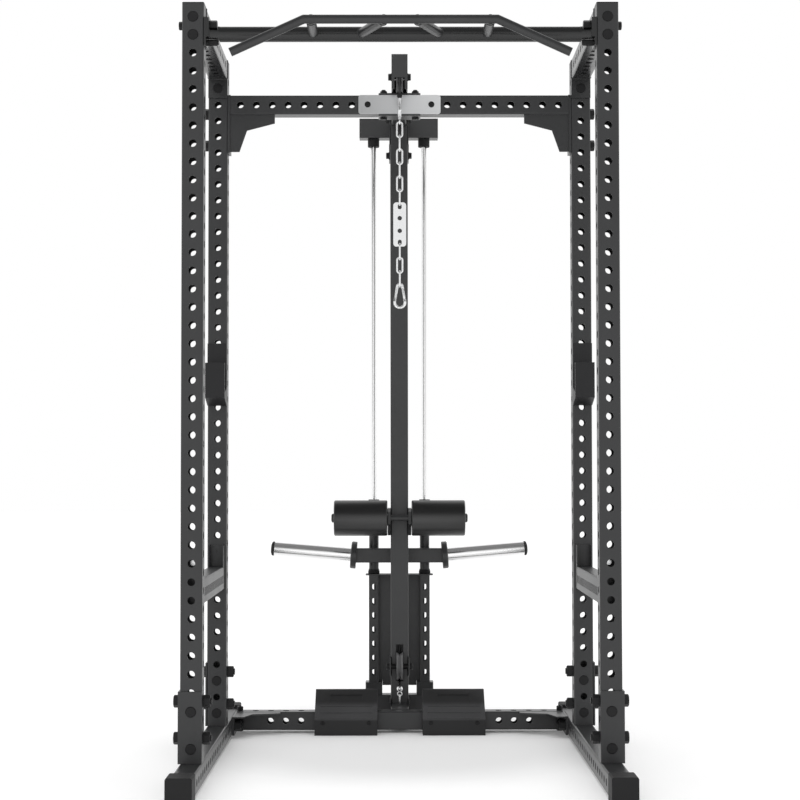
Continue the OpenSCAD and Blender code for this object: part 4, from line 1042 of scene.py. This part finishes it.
def make_floor(settings):
    """A wide pale floor that shows white wherever no shadow falls, except round the tower's foot,
    where less white is added as painted shadow.
    """
    deselect()
    bpy.ops.mesh.primitive_plane_add(size=60.0, location=(0, 0, CAD_BOX[0][2]))
    floor = bpy.context.object
    floor.name = "studio_floor"
    made = bpy.data.materials.new("Studio floor")
    made.use_nodes = True
    tree = made.node_tree
    shader = tree.nodes["Principled BSDF"]
    shader.inputs["Base Color"].default_value = (*settings.floor, 1.0)
    shader.inputs["Roughness"].default_value = 0.7
    shader.inputs["Specular IOR Level"].default_value = 0.2
    path = add(tree, "ShaderNodeLightPath", -700, 400)
    rays = path.outputs["Is Camera Ray"], path.outputs["Is Glossy Ray"]
    seen = maths(tree, "MAXIMUM", -500, 400, *rays)
    place = add(tree, "ShaderNodeTexCoord", -1100, -300)
    reach = add(tree, "ShaderNodeVectorMath", -900, -300, operation="LENGTH")
    tree.links.new(place.outputs["Object"], reach.inputs[0])
    fade = smooth_ramp(tree, reach.outputs["Value"], -650, -300, *FLOOR_FADE,
                       settings.near_glow, settings.far_glow)
    shift = add(tree, "ShaderNodeVectorMath", -900, -550, operation="DISTANCE")
    shift.inputs[1].default_value = TOWER_SHADE_AT
    tree.links.new(place.outputs["Object"], shift.inputs[0])
    # Painted shadow: the added white falls to a low value round the tower's foot
    shade = smooth_ramp(tree, shift.outputs["Value"], -650, -550, *TOWER_SHADE,
                        settings.painted_shadow_glow - settings.near_glow, 0.0)
    white = maths(tree, "ADD", -400, -400, fade, shade)
    glow = add(tree, "ShaderNodeEmission", 0, -300)
    tree.links.new(maths(tree, "MULTIPLY", -200, 300, seen, white), glow.inputs["Strength"])
    both = add(tree, "ShaderNodeAddShader", 300, 0)
    tree.links.new(shader.outputs[0], both.inputs[0])
    tree.links.new(glow.outputs[0], both.inputs[1])
    tree.links.new(both.outputs[0], tree.nodes["Material Output"].inputs[0])
    floor.data.materials.append(made)


def mix_values(tree, factor, low, high, x, y):
    """Mixes two values by a socket; each is a socket or a number."""
    mix = add(tree, "ShaderNodeMix", x, y)
    tree.links.new(factor, mix.inputs["Factor"])
    for socket, value in (("A", low), ("B", high)):
        if isinstance(value, (int, float)):
            mix.inputs[socket].default_value = value
        else:
            tree.links.new(value, mix.inputs[socket])
    return mix.outputs[0]


def make_world(settings):
    """White for the camera and for mirrors, softer as a light."""
    world = bpy.data.worlds.new("Studio")
    bpy.context.scene.world = world
    world.use_nodes = True
    tree = world.node_tree
    tree.nodes.clear()
    output = add(tree, "ShaderNodeOutputWorld", 400, 0)
    backdrop = add(tree, "ShaderNodeBackground", 0, 100)
    backdrop.inputs["Color"].default_value = (1, 1, 1, 1)
    path = add(tree, "ShaderNodeLightPath", -900, 300)
    clear = path.outputs["Is Transmission Ray"]
    direct = maths(tree, "MAXIMUM", -600, 300, path.outputs["Is Camera Ray"], clear)
    way = add(tree, "ShaderNodeTexCoord", -1300, -100)
    parts = add(tree, "ShaderNodeSeparateXYZ", -1100, -100)
    tree.links.new(way.outputs["Generated"], parts.inputs[0])
    back = maths(tree, "MULTIPLY", -1000, -400, parts.outputs["Y"], 0.4)
    up = maths(tree, "SUBTRACT", -1000, -250, parts.outputs["Z"], back)
    ceiling = smooth_ramp(tree, up, -900, -100, *CEILING_FADE, 1.0, settings.ceiling)
    mirrored = mix_values(tree, path.outputs["Is Glossy Ray"], settings.sky, ceiling, -500, 0)
    strength = mix_values(tree, direct, mirrored, 1.0, -250, 100)
    tree.links.new(strength, backdrop.inputs["Strength"])
    tree.links.new(backdrop.outputs[0], output.inputs[0])


def lamp(name, place, target, size, power):
    """A square soft lamp that looks at a point."""
    light = bpy.data.lights.new(name, "AREA")
    light.shape = "SQUARE"
    light.size = size
    light.energy = power
    holder = bpy.data.objects.new(name, light)
    bpy.context.scene.collection.objects.link(holder)
    holder.location = place
    holder.rotation_euler = (Vector(target) - Vector(place)).to_track_quat("-Z", "Y").to_euler()
    holder.visible_glossy = False


def make_lamps(settings):
    """Soft lamps above and in front of the object."""
    for name, place, size, setting in LAMPS:
        lamp(name, place, (0, 0, 1.0), size, getattr(settings, setting))


def make_camera(settings):
    """The camera in front of the cage, tilted a little upwards."""
    data = bpy.data.cameras.new("camera")
    data.sensor_width = 36.0
    data.lens = settings.lens
    data.clip_end = 200.0
    camera = bpy.data.objects.new("camera", data)
    bpy.context.scene.collection.objects.link(camera)
    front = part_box("upright_front_left")[0].y
    camera.location = (settings.offset, front - settings.distance, settings.height)
    camera.rotation_euler = (math.pi / 2 + settings.pitch, settings.roll, -settings.yaw)
    bpy.context.scene.camera = camera


class CAGE_PT_panel(bpy.types.Panel):
    """Lists the cage's build steps"""

    bl_idname = "CAGE_PT_panel"
    bl_label = "Power cage"
    bl_space_type = "VIEW_3D"
    bl_region_type = "UI"
    bl_category = "Power cage"

    def draw(self, context):
        for step in STEPS:
            self.layout.operator(step.bl_idname)


STEPS = (
    CAGE_OT_cage_frame, CAGE_OT_pull_up_bars, CAGE_OT_tower, CAGE_OT_foot_plates, CAGE_OT_fasteners,
    CAGE_OT_face_plate, CAGE_OT_rubber, CAGE_OT_carriage, CAGE_OT_cups_and_bars, CAGE_OT_pulleys,
    CAGE_OT_cables, CAGE_OT_chain_and_hooks, CAGE_OT_knee_rollers, CAGE_OT_welds, CAGE_OT_studio,
)
SETTINGS = {"cage_finish": CageFinish, "cage_sizes": CageSizes, "cage_studio": StudioSettings}


def register():
    """Registers the settings, the steps and the panel."""
    for name, group in SETTINGS.items():
        bpy.utils.register_class(group)
        setattr(bpy.types.Scene, name, bpy.props.PointerProperty(type=group))
    for step in STEPS:
        bpy.utils.register_class(step)
    bpy.utils.register_class(CAGE_PT_panel)


def unregister():
    """Takes away what register() added."""
    bpy.utils.unregister_class(CAGE_PT_panel)
    for step in reversed(STEPS):
        bpy.utils.unregister_class(step)
    for name, group in SETTINGS.items():
        delattr(bpy.types.Scene, name)
        bpy.utils.unregister_class(group)


def run_step(step):
    """Calls one operator by its name and checks that it finished."""
    group, name = step.bl_idname.split(".")
    if getattr(getattr(bpy.ops, group), name)() != {"FINISHED"}:
        raise RuntimeError(step.bl_idname + " did not finish")


def main():
    """Builds everything in order."""
    register()
    for step in STEPS:
        run_step(step)
    deselect()


if __name__ == "__main__":
    main()
